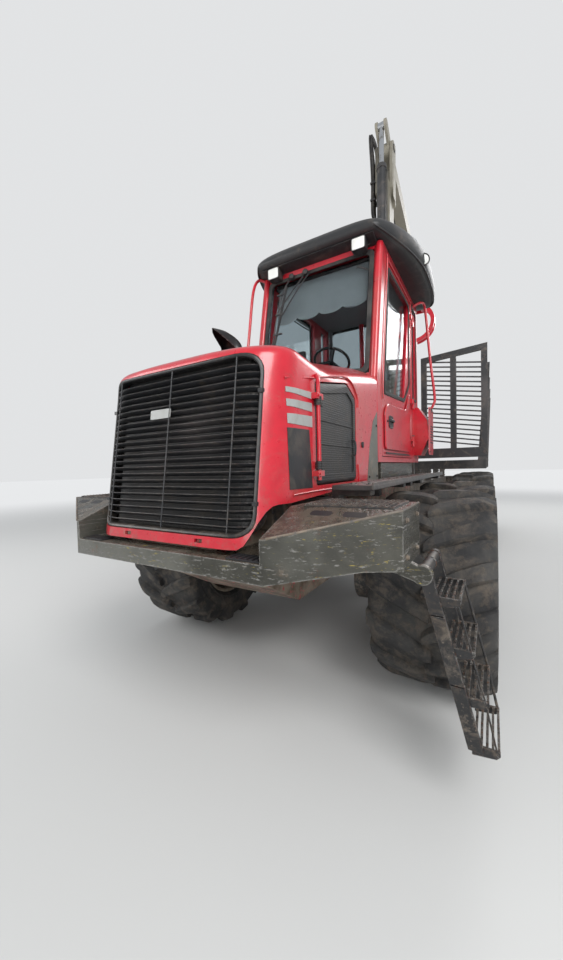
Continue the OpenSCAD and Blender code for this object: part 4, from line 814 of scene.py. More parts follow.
def make_hood():
    rows = hood_rows()
    shape = Shape()
    shape.sheet(rows)
    shape.sheet([mirrored(col) for col in rows])
    hood = loose("hood", shape, "red")
    face_out(hood, 0.0008, upward=True)
    thick = hood.modifiers.new("thick", "SOLIDIFY")
    thick.thickness = HOOD_SHEET
    thick.offset = -1
    bake(hood)
    carve(hood, Shape().prism(oblong((-0.568, 0.568), (1.262, 2.150), 0.103, 6), 4.6, 5.5, "x"))
    for side in (-1, 1):
        carve(hood, Shape().prism(rounded(HATCH, 0.02, 3), side * 0.55, side * 0.72))
    carve(hood, Shape().turn([(0.082, 2.0), (0.082, 2.7)], EXHAUST_AT, "z", 32))
    for side in (-1, 1):
        carve(hood, Shape().turn([(0.034, side * 0.245), (0.034, side * 0.296)], (5.214, 0, 1.234), "y", 24))
    piece("hood_skin", "hood", "red", hood, edge=0.0035, angle=40, stands_for="hood_shell")


def skin_plate(shape, corners, side, rows=6):
    """A thin plate on the hood's side; its corners are front top, rear top, rear low and front low, in x and z."""
    (x0, z0), (x1, z1), (x2, z2), (x3, z3) = corners
    shape.sheet([[on_side((x0 + (x1 - x0) * u) * (1 - v) + (x3 + (x2 - x3) * u) * v,
                          (z0 + (z1 - z0) * u) * (1 - v) + (z3 + (z2 - z3) * u) * v, side) for u in spread(0, 1, 12)]
                 for v in spread(0, 1, rows)], 0.003, (0.35, side, 0))


def make_hood_marks():
    for side, tag in SIDES:
        stripes, panel, trim, flank, latch = (Shape() for _ in range(5))
        for z0, z1 in ((2.000, 1.962), (1.940, 1.892), (1.868, 1.806)):
            skin_plate(stripes, [(4.985, z0 - 0.012), (4.725, z0), (4.725, z1), (4.985, z1)], side)
        piece("stripes_" + tag, "hood", "stripe", stripes, edge=0.001)
        skin_plate(panel, [(4.990, 1.785), (4.765, 1.790), (4.735, 1.472), (4.990, 1.476)], side, 12)
        piece("dark_panel_" + tag, "hood", "plastic", panel, edge=0.001)
        # Raised lips over the stripes and hatch and under them, and clamps of the hatch rod
        lip = [(4.99, 2.030), (4.70, 2.085), (4.62, 2.105), (4.17, 2.195), (3.97, 2.105), (3.955, 2.02)]
        low = [(4.96, 1.448), (4.70, 1.452), (4.00, 1.452), (3.95, 1.47), (3.962, 1.60)]
        for line, radius in ((lip, 0.009), (low, 0.007)):
            trim.curve([on_side(x, z, side, 0.002) for x, z in line], 4, radius, 8, flat=0.6)
        for z in (1.55, 1.98):
            trim.box((4.655, 4.735), (side * 0.648, side * 0.690), (z - 0.016, z + 0.016))
            trim.bolt((4.722, side * 0.690, z), "y", 0.008, side)
        piece("hood_trim_" + tag, "hood", "red", trim, edge=0.002)
        flank.prism([(3.425, 1.440), (3.740, 1.440), (3.655, 1.760), (3.560, 1.960), (3.425, 2.060)],
                    side * 0.646, side * 0.653)
        piece("flank_plate_" + tag, "hood", "bare_grey", flank, edge=0.002)
        # A slotted bush low behind the hatch
        latch.turn([(0.023, side * 0.648), (0.023, side * 0.655), (0.018, side * 0.658), (0.0, side * 0.658)],
                   (3.85, 0, 1.75), "y", 24)
        latch.prism(oblong((3.836, 3.864), (1.728, 1.772), 0.012, 4), side * 0.655, side * 0.661)
        for x, z in ((3.47, 1.50), (3.47, 1.93), (3.69, 1.50)):
            latch.bolt((x, side * 0.652, z), "y", 0.009, side)
        piece("hood_latch_" + tag, "hood", "plastic", latch, edge=0.001)


def make_hatches():
    hinge_x, hinge_y = 4.694, 0.676
    outer = [(3.998, 1.488), (4.672, 1.488), (4.672, 2.062), (4.168, 2.151), (3.998, 2.073)]
    inner = [(4.012, 1.502), (4.656, 1.502), (4.656, 2.048), (4.164, 2.136), (4.012, 2.067)]
    panel = [(4.050, 1.545), (4.612, 1.545), (4.612, 2.015), (4.160, 2.092), (4.050, 2.040)]
    for side, tag in SIDES:
        door, rod = Shape(), Shape()
        door.loft([[(x, side * y, z) for x, z in rounded(outline, 0.022, 3)]
                   for outline, y in ((outer, 0.615), (outer, 0.645), (inner, 0.653), (panel, 0.651), (panel, 0.643))])
        # Stiffening folds across the mesh, hinge eyes and a handle
        for z in (1.72, 1.86):
            door.box((4.055, 4.610), (side * 0.640, side * 0.648), (z, z + 0.006))
        for z in (1.595, 1.955):
            door.turn([(0.020, z - 0.024), (0.020, z + 0.024)], (hinge_x, side * hinge_y, 0), "z", 18)
            door.prism([(4.60, z - 0.018), (hinge_x, z - 0.018), (hinge_x, z + 0.018), (4.60, z + 0.018)],
                       side * 0.650, side * 0.664)
            door.bolt((4.625, side * 0.662, z), "y", 0.008, side)
        door.curve([(4.085, side * y, z) for y, z in ((0.650, 1.66), (0.676, 1.672), (0.676, 1.758), (0.650, 1.77))],
                   4, 0.007, 8)
        piece("hatch_door_" + tag, "hatch_" + tag, "hatch", door, edge=0.002, angle=30, stands_for="hatch_" + tag)
        rod.tube([(hinge_x, side * hinge_y, z) for z in (1.512, 1.6, 1.8, 2.036)], 0.0115, 14)
        rod.curve([(hinge_x, side * hinge_y, 2.03), (4.692, side * 0.674, 2.075), (4.672, side * 0.655, 2.105)],
                  4, 0.0115, 10)
        piece("hatch_rod_" + tag, "hood", "red", rod, edge=0)


def make_grille():
    hw, low, high, radius = 0.566, 1.265, 2.147, 0.100
    middle, half_high = (low + high) / 2, (high - low) / 2
    outline = oblong((-hw, hw), (low, high), radius, 8)

    def corner_cut(z):
        """How far the rounded corners narrow the grille at a height."""
        gap = max(0.0, radius - (z - low), radius - (high - z))
        return radius - math.sqrt(max(0.0, radius ** 2 - gap ** 2))

    # Frame: a thick rounded rim, finely divided so that it bends with the nose
    dense = []
    for i, p in enumerate(outline):
        p, q = Vector(p), Vector(outline[(i + 1) % len(outline)])
        steps = max(1, int((q - p).length / 0.05))
        dense += [tuple(p.lerp(q, k / steps)) for k in range(steps)]
    rings = []
    for d, inset in ((-0.004, 0.010), (-0.001, -0.002), (0.005, -0.006), (0.012, -0.004), (0.017, 0.004),
                     (0.017, 0.050), (-0.004, 0.050)):
        drawn_in = scaled(dense, (0, middle), max(0.0, (hw - d) / hw), (half_high - d) / half_high)
        rings.append([(nose_x(y, z, max(inset, 0.0)) - min(inset, 0.0) - 0.004, y, z) for y, z in drawn_in])
    piece("grille_frame", "hood", "black", Shape().hoop(rings), edge=0, angle=50, stands_for="grille")

    # Slats: leaning blades with a rounded front edge
    slats = Shape()
    section = [(0.010, 0.000), (0.0065, 0.0035), (0.010, 0.0065), (0.050, -0.010), (0.050, -0.0145)]
    count = 22
    for i in range(count):
        z = low + 0.045 + i * (high - low - 0.07) / count
        half = hw - 0.012 - corner_cut(z)
        slats.loft([[(nose_x(y, z, 0.010) - a + 0.010, y, z + b) for a, b in section] for y in spread(-half, half, 40)])
    piece("grille_slats", "hood", "slat", slats, edge=0, angle=60)

    # Upright bars, a blank plate on the slats and clips at the frame
    bars = Shape()
    for y in (-0.445, 0.0, 0.445):
        bars.tube([(nose_x(y, z) + 0.002, y, z) for z in spread(low + 0.018, high - 0.018, 12)], 0.0040, 8)
    bars.look = 1
    plate = oblong((-0.150, 0.005), (1.873, 1.925), 0.008, 3)
    bars.loft([[(nose_x(y, z) + d, y, z) for y, z in plate] for d in (-0.004, 0.004)])
    bars.look = 0
    for side in (-1, 1):
        for z in (1.42, 1.96):
            x = nose_x(hw, z)
            bars.box((x - 0.012, x + 0.014), (side * 0.546, side * 0.572), (z - 0.010, z + 0.010))
    piece("grille_bars", "hood", "slat stripe", bars, edge=0.0008)

    # Fine mesh behind the slats
    back = Shape()
    rows = []
    for z in spread(low + 0.004, high - 0.004, 8):
        half = hw - 0.004 - corner_cut(z)
        rows.append([(nose_x(y, z, 0.062), y, z) for y in spread(-half, half, 30)])
    back.sheet(rows, 0.006, (-1, 0, 0))
    piece("grille_mesh", "hood", "mesh", back, edge=0, angle=60)


make_hood()
make_hood_marks()
make_hatches()
make_grille()


# Cab
PANE_Y = 0.651
DOOR_Y = 0.661
DOOR_HINGE = (1.9, 0.670, 0)
LAMP_SHARE = 0.88
QUARTER_MIDDLE = (1.635, 2.01)
HANDLE_MIDDLE = (3.0115, 2.0055)
# Roof sections from the visor back: x, half width, underside, top
ROOF = [
    (3.330, 0.600, 3.742, 3.756), (3.322, 0.628, 3.716, 3.786), (3.290, 0.660, 3.694, 3.832), (3.220, 0.700, 3.680, 3.872),
    (3.080, 0.758, 3.670, 3.915), (2.880, 0.822, 3.665, 3.958), (2.640, 0.880, 3.662, 3.998), (2.380, 0.914, 3.662, 4.032),
    (2.080, 0.918, 3.662, 4.054), (1.860, 0.914, 3.662, 4.036), (1.660, 0.900, 3.662, 3.996), (1.500, 0.872, 3.664, 3.898),
    (1.400, 0.828, 3.672, 3.800), (1.350, 0.770, 3.684, 3.742), (1.326, 0.700, 3.700, 3.722)]


def screen_x(z, out=0.0):
    """Place of the windscreen's plane at a height."""
    return 3.400 - 0.198 * (z - 2.400) + out


def on_screen(y, z, out=0.0):
    return (screen_x(z, out), y, z)


def make_roof():
    """Domed roof with a curling visor, its drip rails, hatch lid and ribs."""
    rings = []
    for x, hw, low, top in ROOF:
        ring = []
        for a in spread(0, math.pi, 32):
            c, s = math.cos(a), math.sin(a)
            ring.append((x, hw * math.copysign(abs(c) ** 0.42, c), low + (top - low) * (0.18 + 0.82 * s ** 0.62)))
        for y in (-0.985, -0.93, -0.80, -0.5, 0.0, 0.5, 0.80, 0.93, 0.985):
            ring.append((x, hw * y, low + (top - low) * (0.10 if abs(y) > 0.95 else 0.0)))
        rings.append(ring)
    piece("roof_shell", "root", "roof", Shape().loft(rings), edge=0, angle=50, stands_for="cab_roof")
    trim = Shape()
    for side in (-1, 1):
        trim.curve([(x, side * 0.985 * hw, low + 0.012) for x, hw, low, top in ROOF[1:-1]], 3, 0.009, 8)
    trim.prism(oblong((1.86, 2.42), (-0.30, 0.30), 0.08, 5), 4.030, 4.062, "z")
    rib = ((1.60, 3.93), (1.61, 3.985), (1.72, 4.018), (2.30, 4.035), (2.62, 3.985), (2.66, 3.93))
    for y in (-0.56, 0.56):
        trim.curve([(x, y, z) for x, z in rib], 5, 0.013, 8)
    piece("roof_trim", "root", "plastic", trim, edge=0.003)


def make_header():
    """Red band and dark liner between the visor and the windscreen, with the wiper motors."""
    band = [(screen_x(3.60, 0.002), 3.600), (screen_x(3.60, 0.016), 3.600), (3.186, 3.658), (3.140, 3.668), (3.130, 3.655)]
    piece("header_band", "root", "red", Shape().prism(band, -0.50, 0.50), edge=0.003)
    liner = Shape().prism([(2.92, 3.664), (3.295, 3.690), (3.300, 3.682), (3.150, 3.640), (2.92, 3.640)], -0.60, 0.60)
    for y in (-0.13, -0.29):
        liner.turn([(0.030, 0.0), (0.030, 0.045), (0.022, 0.055)], on_screen(y, 3.59), "x", 18)
    piece("visor_liner", "root", "plastic", liner, edge=0.003)


def frame_ring(shape, path, wide, deep, normal):
    """A flat rubber frame along a closed outline that lies in a plane."""
    pts = [Vector(p) for p in path]
    centre = sum(pts, Vector()) / len(pts)
    n = Vector(normal).normalized()
    shape.hoop([[p + (centre - p).normalized() * w * 1.25 + n * d for p in pts]
                for w, d in ((0, 0), (0, deep), (wide * 0.3, deep * 1.3), (wide, deep), (wide, 0))])


def make_glass_seals():
    seals, door_seal = Shape(), Shape()
    front = oblong((-0.578, 0.578), (2.412, 3.612), 0.07, 5)
    frame_ring(seals, [on_screen(y, z, 0.003) for y, z in front], 0.045, 0.012, (1, 0, 0.198))
    rear = oblong((-0.562, 0.562), (2.278, 3.592), 0.07, 5)
    frame_ring(seals, [(1.4505 + 0.0455 * (z - 1.62) / 1.02, y, z) for y, z in rear], 0.040, 0.010, (-1, 0, 0))
    right = rounded([(2.018, 2.338), (3.232, 2.338), (3.192, 2.412), (2.980, 3.552), (2.018, 3.552)], 0.05)
    narrow = rounded([(1.578, 2.398), (1.812, 2.398), (1.812, 3.552), (1.608, 3.552)], 0.04)
    door = rounded([(2.318, 2.302), (3.192, 2.252), (3.192, 2.412), (2.980, 3.512), (2.018, 3.512), (2.018, 2.55)], 0.05)
    for shape, outline, side, wide in ((seals, right, -1, 0.032), (seals, narrow, -1, 0.024), (seals, narrow, 1, 0.024),
                                       (door_seal, door, 1, 0.034)):
        frame_ring(shape, [(x, side * PANE_Y, z) for x, z in outline], wide, 0.008, (0, side, 0))
    piece("glass_seals", "root", "seal", seals, edge=0, angle=40)
    piece("door_glass_seal", "door", "seal", door_seal, edge=0, angle=40)


def make_pillars():
    """Mouldings beside the windscreen with their feet, rear corner posts, liner and inner posts."""
    red, dark = Shape(), Shape()
    for side in (-1, 1):
        red.tube([on_screen(side * 0.618, z, -0.006) for z in (2.36, 2.6, 3.0, 3.4, 3.655)],
                 [0.030, 0.034, 0.036, 0.036, 0.034], 14)
        red.curve([(3.405, side * 0.612, 2.38), (3.412, side * 0.628, 2.30), (3.412, side * 0.634, 1.90),
                   (3.412, side * 0.634, 1.66)], 4, 0.022, 10)
        red.tube([(1.466 + 0.0445 * (z - 1.64), side * 0.630, z) for z in (1.66, 2.4, 3.65)], 0.026, 12)
    piece("pillar_mouldings", "root", "red", red, edge=0)
    for side in (-1, 1):
        dark.tube([on_screen(side * 0.565, z, -0.045) for z in (2.42, 3.0, 3.62)], 0.016, 10)
    dark.box((1.56, 3.05), (-0.57, 0.57), (3.575, 3.598))
    for y in (0.52, -0.52):
        dark.tube([(1.60, y, 1.72), (1.63, y, 3.58)], 0.030, 10)
    piece("cab_liner", "root", "grey_plastic", dark, edge=0.004)
    piece("rear_post", "root", "red", Shape().tube([(1.58, -0.06, 2.30), (1.60, -0.06, 3.57)], 0.034, 10), edge=0)


def make_wipers():
    """Two arms, an almost upright blade with its frame, and the washer hose down the glass."""
    parts = Shape()
    for y_top, z_top, y_low, z_low in ((-0.096, 3.559, -0.370, 3.179), (-0.155, 3.552, -0.430, 3.229)):
        parts.curve([on_screen(y_top, z_top, 0.030), on_screen(y_top * 0.64 + y_low * 0.36, 3.42, 0.045),
                     on_screen(y_low, z_low, 0.034)], 5, 0.0065, 6)
    blade = [on_screen(-0.345 - 0.10 * (3.53 - z) / 0.7, z, 0.020) for z in (3.50, 3.3, 3.1, 2.86)]
    parts.tube(blade, 0.007, 6, flat=1.8)
    parts.tube([(x + 0.016, y, z) for x, y, z in blade], 0.0045, 6)
    for z in (3.42, 3.2, 2.98):
        parts.box((screen_x(z, 0.016), screen_x(z, 0.040)), (-0.45, -0.36), (z - 0.006, z + 0.006))
    hose = ((-0.27, 3.59, 0.020), (-0.37, 3.50, 0.018), (-0.445, 3.20, 0.014), (-0.474, 2.82, 0.012), (-0.480, 2.46, 0.010))
    parts.curve([on_screen(*p) for p in hose], 6, 0.0055, 6)
    piece("wipers", "root", "plastic", parts, edge=0, angle=50)


def make_lamps():
    """Two square lamps under the visor and two round pods in the roof's sides."""
    housing, lens = Shape(), Shape()
    for y in (-0.46, 0.46):
        hull = oblong((y - 0.068, y + 0.068), (3.572, 3.690), 0.018, 3)
        housing.loft([[(x, a, z) for a, z in scaled(hull, (y, 3.63), share)]
                      for x, share in ((3.180, 0.8), (3.215, 1), (3.294, 1), (3.299, 0.9), (3.290, LAMP_SHARE))])
        face = scaled(hull, (y, 3.632), LAMP_SHARE)
        lens.loft([[(x, a, z) for a, z in scaled(face, (y, 3.632), share)]
                   for x, share in ((3.284, 1), (3.294, 1), (3.297, 0.85))])
        for side in (-1, 1):
            housing.curve([(3.21, y + side * 0.05, 3.63), (3.20, y + side * 0.082, 3.645), (3.19, y + side * 0.080, 3.675)],
                          3, 0.006, 6)
    for side in (-1, 1):
        # A pod looks forward and outward
        aim = Vector((0.80, side * 0.58, -0.12)).normalized()
        across = aim.cross(Vector((0, 0, 1))).normalized()
        middle = Vector((2.430, side * 0.890, 3.762))
        pod = ((0.030, -0.05), (0.056, -0.03), (0.061, 0.0), (0.061, 0.022), (0.056, 0.027), (0.050, 0.020))
        for form, profile in ((housing, pod), (lens, ((0.051, 0.012), (0.051, 0.019), (0.034, 0.0235), (0.002, 0.025)))):
            form.loft([circle(middle + aim * along, r, across, across.cross(aim), 28) for r, along in profile])
    piece("lamp_housings", "root", "plastic", housing, edge=0.002, stands_for="work_lamps")
    piece("lamp_lenses", "root", "lamp", lens, edge=0.001)


def make_sun_screen():
    """Grey roller blind inside the windscreen, cut in scallops along its lower edge."""
    wide, top = 0.50, 3.590
    rows = []
    for v in spread(0, 1, 8):
        row = []
        for y in spread(-wide, wide, 72):
            low = 3.165 - 0.045 * abs(math.sin(math.pi * (y + wide) / 0.25)) ** 0.6
            row.append(on_screen(y, top + (low - top) * v, -0.085 + 0.006 * math.sin(16 * y) * v))
        rows.append(row)
    screen = Shape().sheet(rows, 0.0012, (-1, 0, 0))
    blind = piece("sun_screen", "root", "blind", screen, edge=0, angle=60)


def cushion(name, place, tilt, wide, long, thick, seams, look="cloth"):
    """A crowned pad with rolled edges and sewn channels. place is its middle, tilt its turn about Y."""
    top, low = [], []
    for u in spread(-1, 1, 28):
        top.append([])
        low.append([])
        for v in spread(-1, 1, 30):
            crown = max((1 - abs(u) ** 5) * (1 - abs(v) ** 5), 0.0) ** 0.42
            across = u * wide / 2 * (1 - 0.035 * (1 - u * u) * abs(v) ** 3)
            along = v * long / 2 * (1 - 0.030 * (1 - v * v) * abs(u) ** 3)
            groove = 1.0 - sum(0.22 * math.exp(-((v - s) / 0.035) ** 2) for s in seams)
            high = crown * (0.82 + 0.10 * abs(u) ** 3) * groove + 0.10 * (1 - u * u) * (1 - v * v)
            top[-1].append((along, across, thick * high))
            low[-1].append((along, across, -0.10 * thick * crown))
    shape = Shape().sheet(top)
    shape.sheet([row[::-1] for row in low])
    turn = Matrix.Rotation(math.radians(tilt), 3, "Y")
    shape.points = [tuple(Vector(place) + turn @ Vector(p)) for p in shape.points]
    pad = loose(name, shape, look)
    face_out(pad, 0.0015)
    piece(name, "seat", look, pad, edge=0, angle=80)


def make_seat():
    """Padded seat on its turntable: seat pad, back, head rest, arm rests and the lever pods."""
    cushion("seat_pad", (2.325, 0, 2.075), 0, 0.500, 0.480, 0.075, (-0.45, 0.05, 0.5))
    cushion("seat_back_pad", (2.085, 0, 2.410), -98, 0.460, 0.560, 0.085, (-0.62, -0.2, 0.22, 0.6))
    cushion("head_rest_pad", (2.040, 0, 2.715), -98, 0.290, 0.120, 0.070, ())
    shell = Shape().prism(oblong((2.080, 2.560), (-0.235, 0.235), 0.05, 4), 1.985, 2.068, "z")
    back = rounded([(-0.215, 2.10), (0.215, 2.10), (0.195, 2.68), (-0.195, 2.68)], 0.07, 5)
    shell.loft([[(2.118 - 0.140 * (z - 2.10) - d, y, z) for y, z in back] for d in (0.040, 0.064)])
    for y in (-0.07, 0.07):
        shell.tube([(2.050, y, 2.60), (2.030, y, 2.70)], 0.008, 8)
    pod = oblong((2.40, 2.545), (0.246, 0.312), 0.025, 4)
    stick = [(0.024, 2.290), (0.020, 2.306), (0.009, 2.318), (0.009, 2.330), (0.017, 2.345), (0.019, 2.372), (0.012, 2.390)]
    for side in (-1, 1):
        # Arm rest bracket, and a lever pod with a stick and four buttons
        shell.prism([(2.10, 2.06), (2.19, 2.06), (2.19, 2.22), (2.10, 2.22)], side * 0.238, side * 0.262)
        shell.loft([[(x, side * y, z) for x, y in scaled(pod, (2.47, 0.28), share)]
                    for z, share in ((2.235, 1), (2.282, 1), (2.292, 0.86))])
        shell.turn(stick, (2.500, side * 0.280, 0), "z", 18)
        for k in range(4):
            button_at = (2.415 + 0.018 * (k % 2), side * (0.262 + 0.022 * (k // 2)), 0)
            shell.turn([(0.006, 2.290), (0.006, 2.297)], button_at, "z", 10)
    piece("seat_shell", "seat", "plastic", shell, edge=0.004, stands_for="seat")
    for side, tag in SIDES:
        cushion("arm_pad_" + tag, (2.250, side * 0.281, 2.238), 0, 0.068, 0.290, 0.040, (), "plastic")


def make_controls():
    """Dash, steering wheel, screen, blind's roller and the boxes behind the windscreen."""
    dash = Shape()
    dash.loft([[(x, y, z) for x, z in ((3.33, 2.40), (3.12, 2.38), (3.02, 2.27), (3.02, 2.16), (3.34, 2.16))]
               for y in (-0.56, -0.30, 0.30, 0.56)])
    dash.curve([(3.13, 0.02, 2.26), (3.06, 0.03, 2.46), (2.98, 0.05, 2.66)], 4, [0.045] * 5 + [0.034] * 4, 14)
    wheel_at, tilt = Vector((2.975, 0.05, 2.70)), math.radians(-32)
    forward, across = Vector((math.cos(tilt), 0, -math.sin(tilt))), Vector((0, 1, 0))
    dash.tube(circle(wheel_at, 0.185, forward, across, 40), 0.014, 10, closed=True)
    for a in (0.5, 2.65, 4.71):
        dash.tube([wheel_at, wheel_at + 0.18 * (forward * math.cos(a) + across * math.sin(a))], 0.011, 8, flat=1.6)
    # Screen on a bent arm, printer box, a radio in the roof liner and the blind's roller
    dash.curve([(3.16, -0.36, 2.36), (3.13, -0.37, 2.52), (3.08, -0.35, 2.62)], 4, 0.011, 8)
    display = oblong((-0.50, -0.20), (2.62, 2.83), 0.02, 3)
    dash.loft([[(3.08 + d - 0.10 * (z - 2.72), y, z) for y, z in display] for d in (0.0, 0.035)])
    dash.box((1.62, 1.80), (-0.50, 0.10), (2.02, 2.26))
    dash.box((1.60, 1.74), (0.16, 0.44), (3.36, 3.50))
    dash.tube([on_screen(y, 3.575, -0.075) for y in (-0.52, 0.0, 0.52)], 0.020, 14)
    # Hook and cord at the screen's left edge
    dash.curve([on_screen(0.40, 3.50, -0.03), on_screen(0.47, 3.46, -0.02), on_screen(0.535, 3.41, -0.02)], 4, 0.009, 8)
    piece("cab_controls", "root", "plastic", dash, edge=0.004, angle=40)
    rear = Shape().prism(oblong((1.545, 1.60), (-0.54, 0.54), 0.02, 3), 1.68, 2.24, "z")
    rear.prism(oblong((2.95, 3.34), (-0.52, 0.52), 0.03, 3), 1.625, 1.652, "z")
    piece("cab_trim", "root", "grey_plastic", rear, edge=0.006)


def on_door(outline, out):
    return [(x, DOOR_Y + out, z) for x, z in outline]


def make_door_details():
    # Raised panel under the window and a pressed line round it
    trim = Shape()
    low = rounded([(2.06, 1.735), (3.20, 1.735), (3.205, 2.10), (3.10, 2.175), (2.30, 2.215), (2.06, 2.46)], 0.06, 5)
    trim.loft([on_door(low, -0.004), on_door(scaled(low, (2.65, 1.98), 0.985, 0.965), 0.007)])
    edge = [(1.945, 2.32), (1.945, 3.50), (1.99, 3.56), (2.96, 3.56), (3.03, 3.50), (3.235, 2.40), (3.240, 2.20)]
    trim.curve(on_door(edge, -0.002), 4, 0.009, 8, flat=0.7)
    piece("door_skin", "door", "red", trim, edge=0.003)
    # Handle in its rounded dish, lock, and a drain slot along the lower edge
    dark = Shape()
    dish = oblong((2.925, 3.098), (1.945, 2.066), 0.045, 6)
    dark.loft([on_door(scaled(dish, HANDLE_MIDDLE, share), out)
               for share, out in ((1.0, 0.004), (1.0, 0.0125), (0.88, 0.0135), (0.80, 0.0095))])
    grip = ((2.956, 2.012, 0.010), (2.968, 2.018, 0.026), (3.056, 2.018, 0.026), (3.068, 2.012, 0.010))
    dark.curve([(x, DOOR_Y + out, z) for x, z, out in grip], 4, 0.010, 10, flat=1.3)
    dark.turn([(0.011, 0.664), (0.011, 0.674), (0.004, 0.675)], (3.140, 0, 2.005), "y", 16)
    slot = oblong((2.10, 3.17), (1.700, 1.714), 0.007, 3)
    dark.loft([on_door(slot, out) for out in (-0.003, 0.0015)])
    piece("door_handle", "door", "plastic", dark, edge=0.0015)
    mark = ((1.965, 2.210), (2.060, 2.080), (1.975, 1.900))
    piece("door_faded_mark", "door", "faded", Shape().loft([on_door(mark, out) for out in (-0.001, 0.0025)]), edge=0)
    hinges = Shape()
    for z in (1.880, 2.340, 3.360):
        hinges.turn([(0.0165, z + 0.062), (0.0185, z + 0.064), (0.0185, z + 0.070), (0.010, z + 0.074)],
                    DOOR_HINGE, "z", 14)
    piece("door_hinge_caps", "root", "cast", hinges, edge=0)


def make_quarter():
    """Rounded skin over the bulging panels behind the door, with a pressed air intake."""
    base = oblong((1.452, 1.818), (1.712, 2.308), 0.05, 5)
    for side, tag in SIDES:
        skin, vent, heads = Shape(), Shape(), Shape()
        skin.loft([[(x, side * out, z) for x, z in scaled(base, QUARTER_MIDDLE, share)]
                   for share, out in ((1.0, 0.836), (0.995, 0.8395), (0.90, 0.8445), (0.5, 0.8485))])
        piece("quarter_skin_" + tag, "root", "red", skin, edge=0, angle=45)
        for k in range(7):
            z = 1.86 + 0.034 * k
            vent.box((1.53, 1.74), (side * 0.846, side * 0.853), (z, z + 0.012))
        piece("quarter_vent_" + tag, "root", "plastic", vent, edge=0.002)
        heads.bolts((1.49, 1.78), [side * 0.842], (1.75, 2.27), "y", 0.009, side)
        piece("quarter_bolts_" + tag, "root", "cast", heads, edge=0)


def make_exhaust():
    """Stack with its rain sleeve and a hooked scoop, open to the front, that curls over to a tip."""
    pipe = Shape()
    pipe.turn([(0.090, 2.20), (0.090, 2.262), (0.078, 2.275), (0.074, 2.285), (0.074, 2.500), (0.078, 2.505),
               (0.078, 2.520), (0.070, 2.524)], EXHAUST_AT, "z", 32)
    for z in (2.31, 2.35):
        pipe.turn([(0.074, z), (0.081, z + 0.003), (0.081, z + 0.019), (0.074, z + 0.022)], EXHAUST_AT, "z", 32)
    back = ((3.990, 2.490), (3.972, 2.580), (3.992, 2.670), (4.060, 2.728), (4.170, 2.748), (4.300, 2.732))
    spine = smooth_path([(x, 0, z) for x, z in back], 5)
    last = len(spine) - 1
    rings = []
    for i, p in enumerate(spine):
        t = i / last
        way = (spine[min(i + 1, last)] - spine[max(i - 1, 0)]).normalized()
        inside = Vector((way.z, 0, -way.x))
        wide = 0.080 + 0.022 * math.sin(math.pi * min(1.0, 1.4 * t))
        wide = max(0.006, wide * math.sqrt(max(0.0, 1 - max(0.0, (t - 0.30) / 0.70) ** 2.4)))
        deep = 0.082 * (1 - t ** 7) + 0.002
        ring = []
        for skin, angles in ((0.0, spread(-125, 125, 18)), (0.0035, spread(125, -125, 18))):
            for a in angles:
                r = math.radians(a * (1 - 0.15 * t))
                y = EXHAUST_AT[1] + (wide - skin) * math.sin(r)
                ring.append(p + inside * (deep * (1 - math.cos(r)) + skin) + Vector((0, y, 0)))
        rings.append(ring)
    pipe.loft(rings)
    piece("exhaust_pipe", "hood", "black", pipe, edge=0, angle=45, stands_for="exhaust_stack")


def make_rails():
    """Handrails: one ahead of the far windscreen pillar, one behind the doorway on each side."""
    rails, feet = Shape(), Shape()
    rails.curve([(3.150, -0.640, 3.655), (3.196, -0.715, 3.668), (3.290, -0.722, 3.500), (3.372, -0.722, 3.080),
                 (3.425, -0.722, 2.780), (3.452, -0.722, 2.500), (3.420, -0.640, 2.430)], 6, 0.0155, 12)
    rear = ((1.800, 0.642, 3.560), (1.780, 0.740, 3.600), (1.660, 0.770, 3.620), (1.604, 0.785, 3.500),
            (1.600, 0.830, 2.950), (1.600, 0.880, 2.470), (1.600, 0.868, 2.360), (1.600, 0.825, 2.290))
    for side in (-1, 1):
        rails.curve([(x, side * y, z) for x, y, z in rear], 6, 0.0160, 12)
        for y, at in ((0.648, (1.800, 0, 3.560)), (0.838, (1.600, 0, 2.280))):
            feet.turn([(0.034, side * y), (0.034, side * (y + 0.008)), (0.022, side * (y + 0.014))], at, "y", 18)
    piece("handrail_tubes", "root", "red", rails, edge=0, stands_for="handrails")
    piece("rail_feet", "root", "dark", feet, edge=0.001)


make_roof()
make_header()
make_glass_seals()
make_pillars()
make_wipers()
make_lamps()
make_sun_screen()
make_seat()
make_controls()
make_door_details()
make_quarter()
make_exhaust()
make_rails()


# Ladder, bumper, walkways and frame fittings
LADDER_PIN = (0, 1.240, 1.095)
BOGIE_HUBS = (2.9, -2.6)
BOGIE_SIDE_Y, BOGIE_Z = 0.665, 0.76
BUNKS = (-0.760, -2.050, -3.350, -4.700)


def ladder_y(z):
    return 1.240 + 0.264 * (1.095 - z) / 0.985


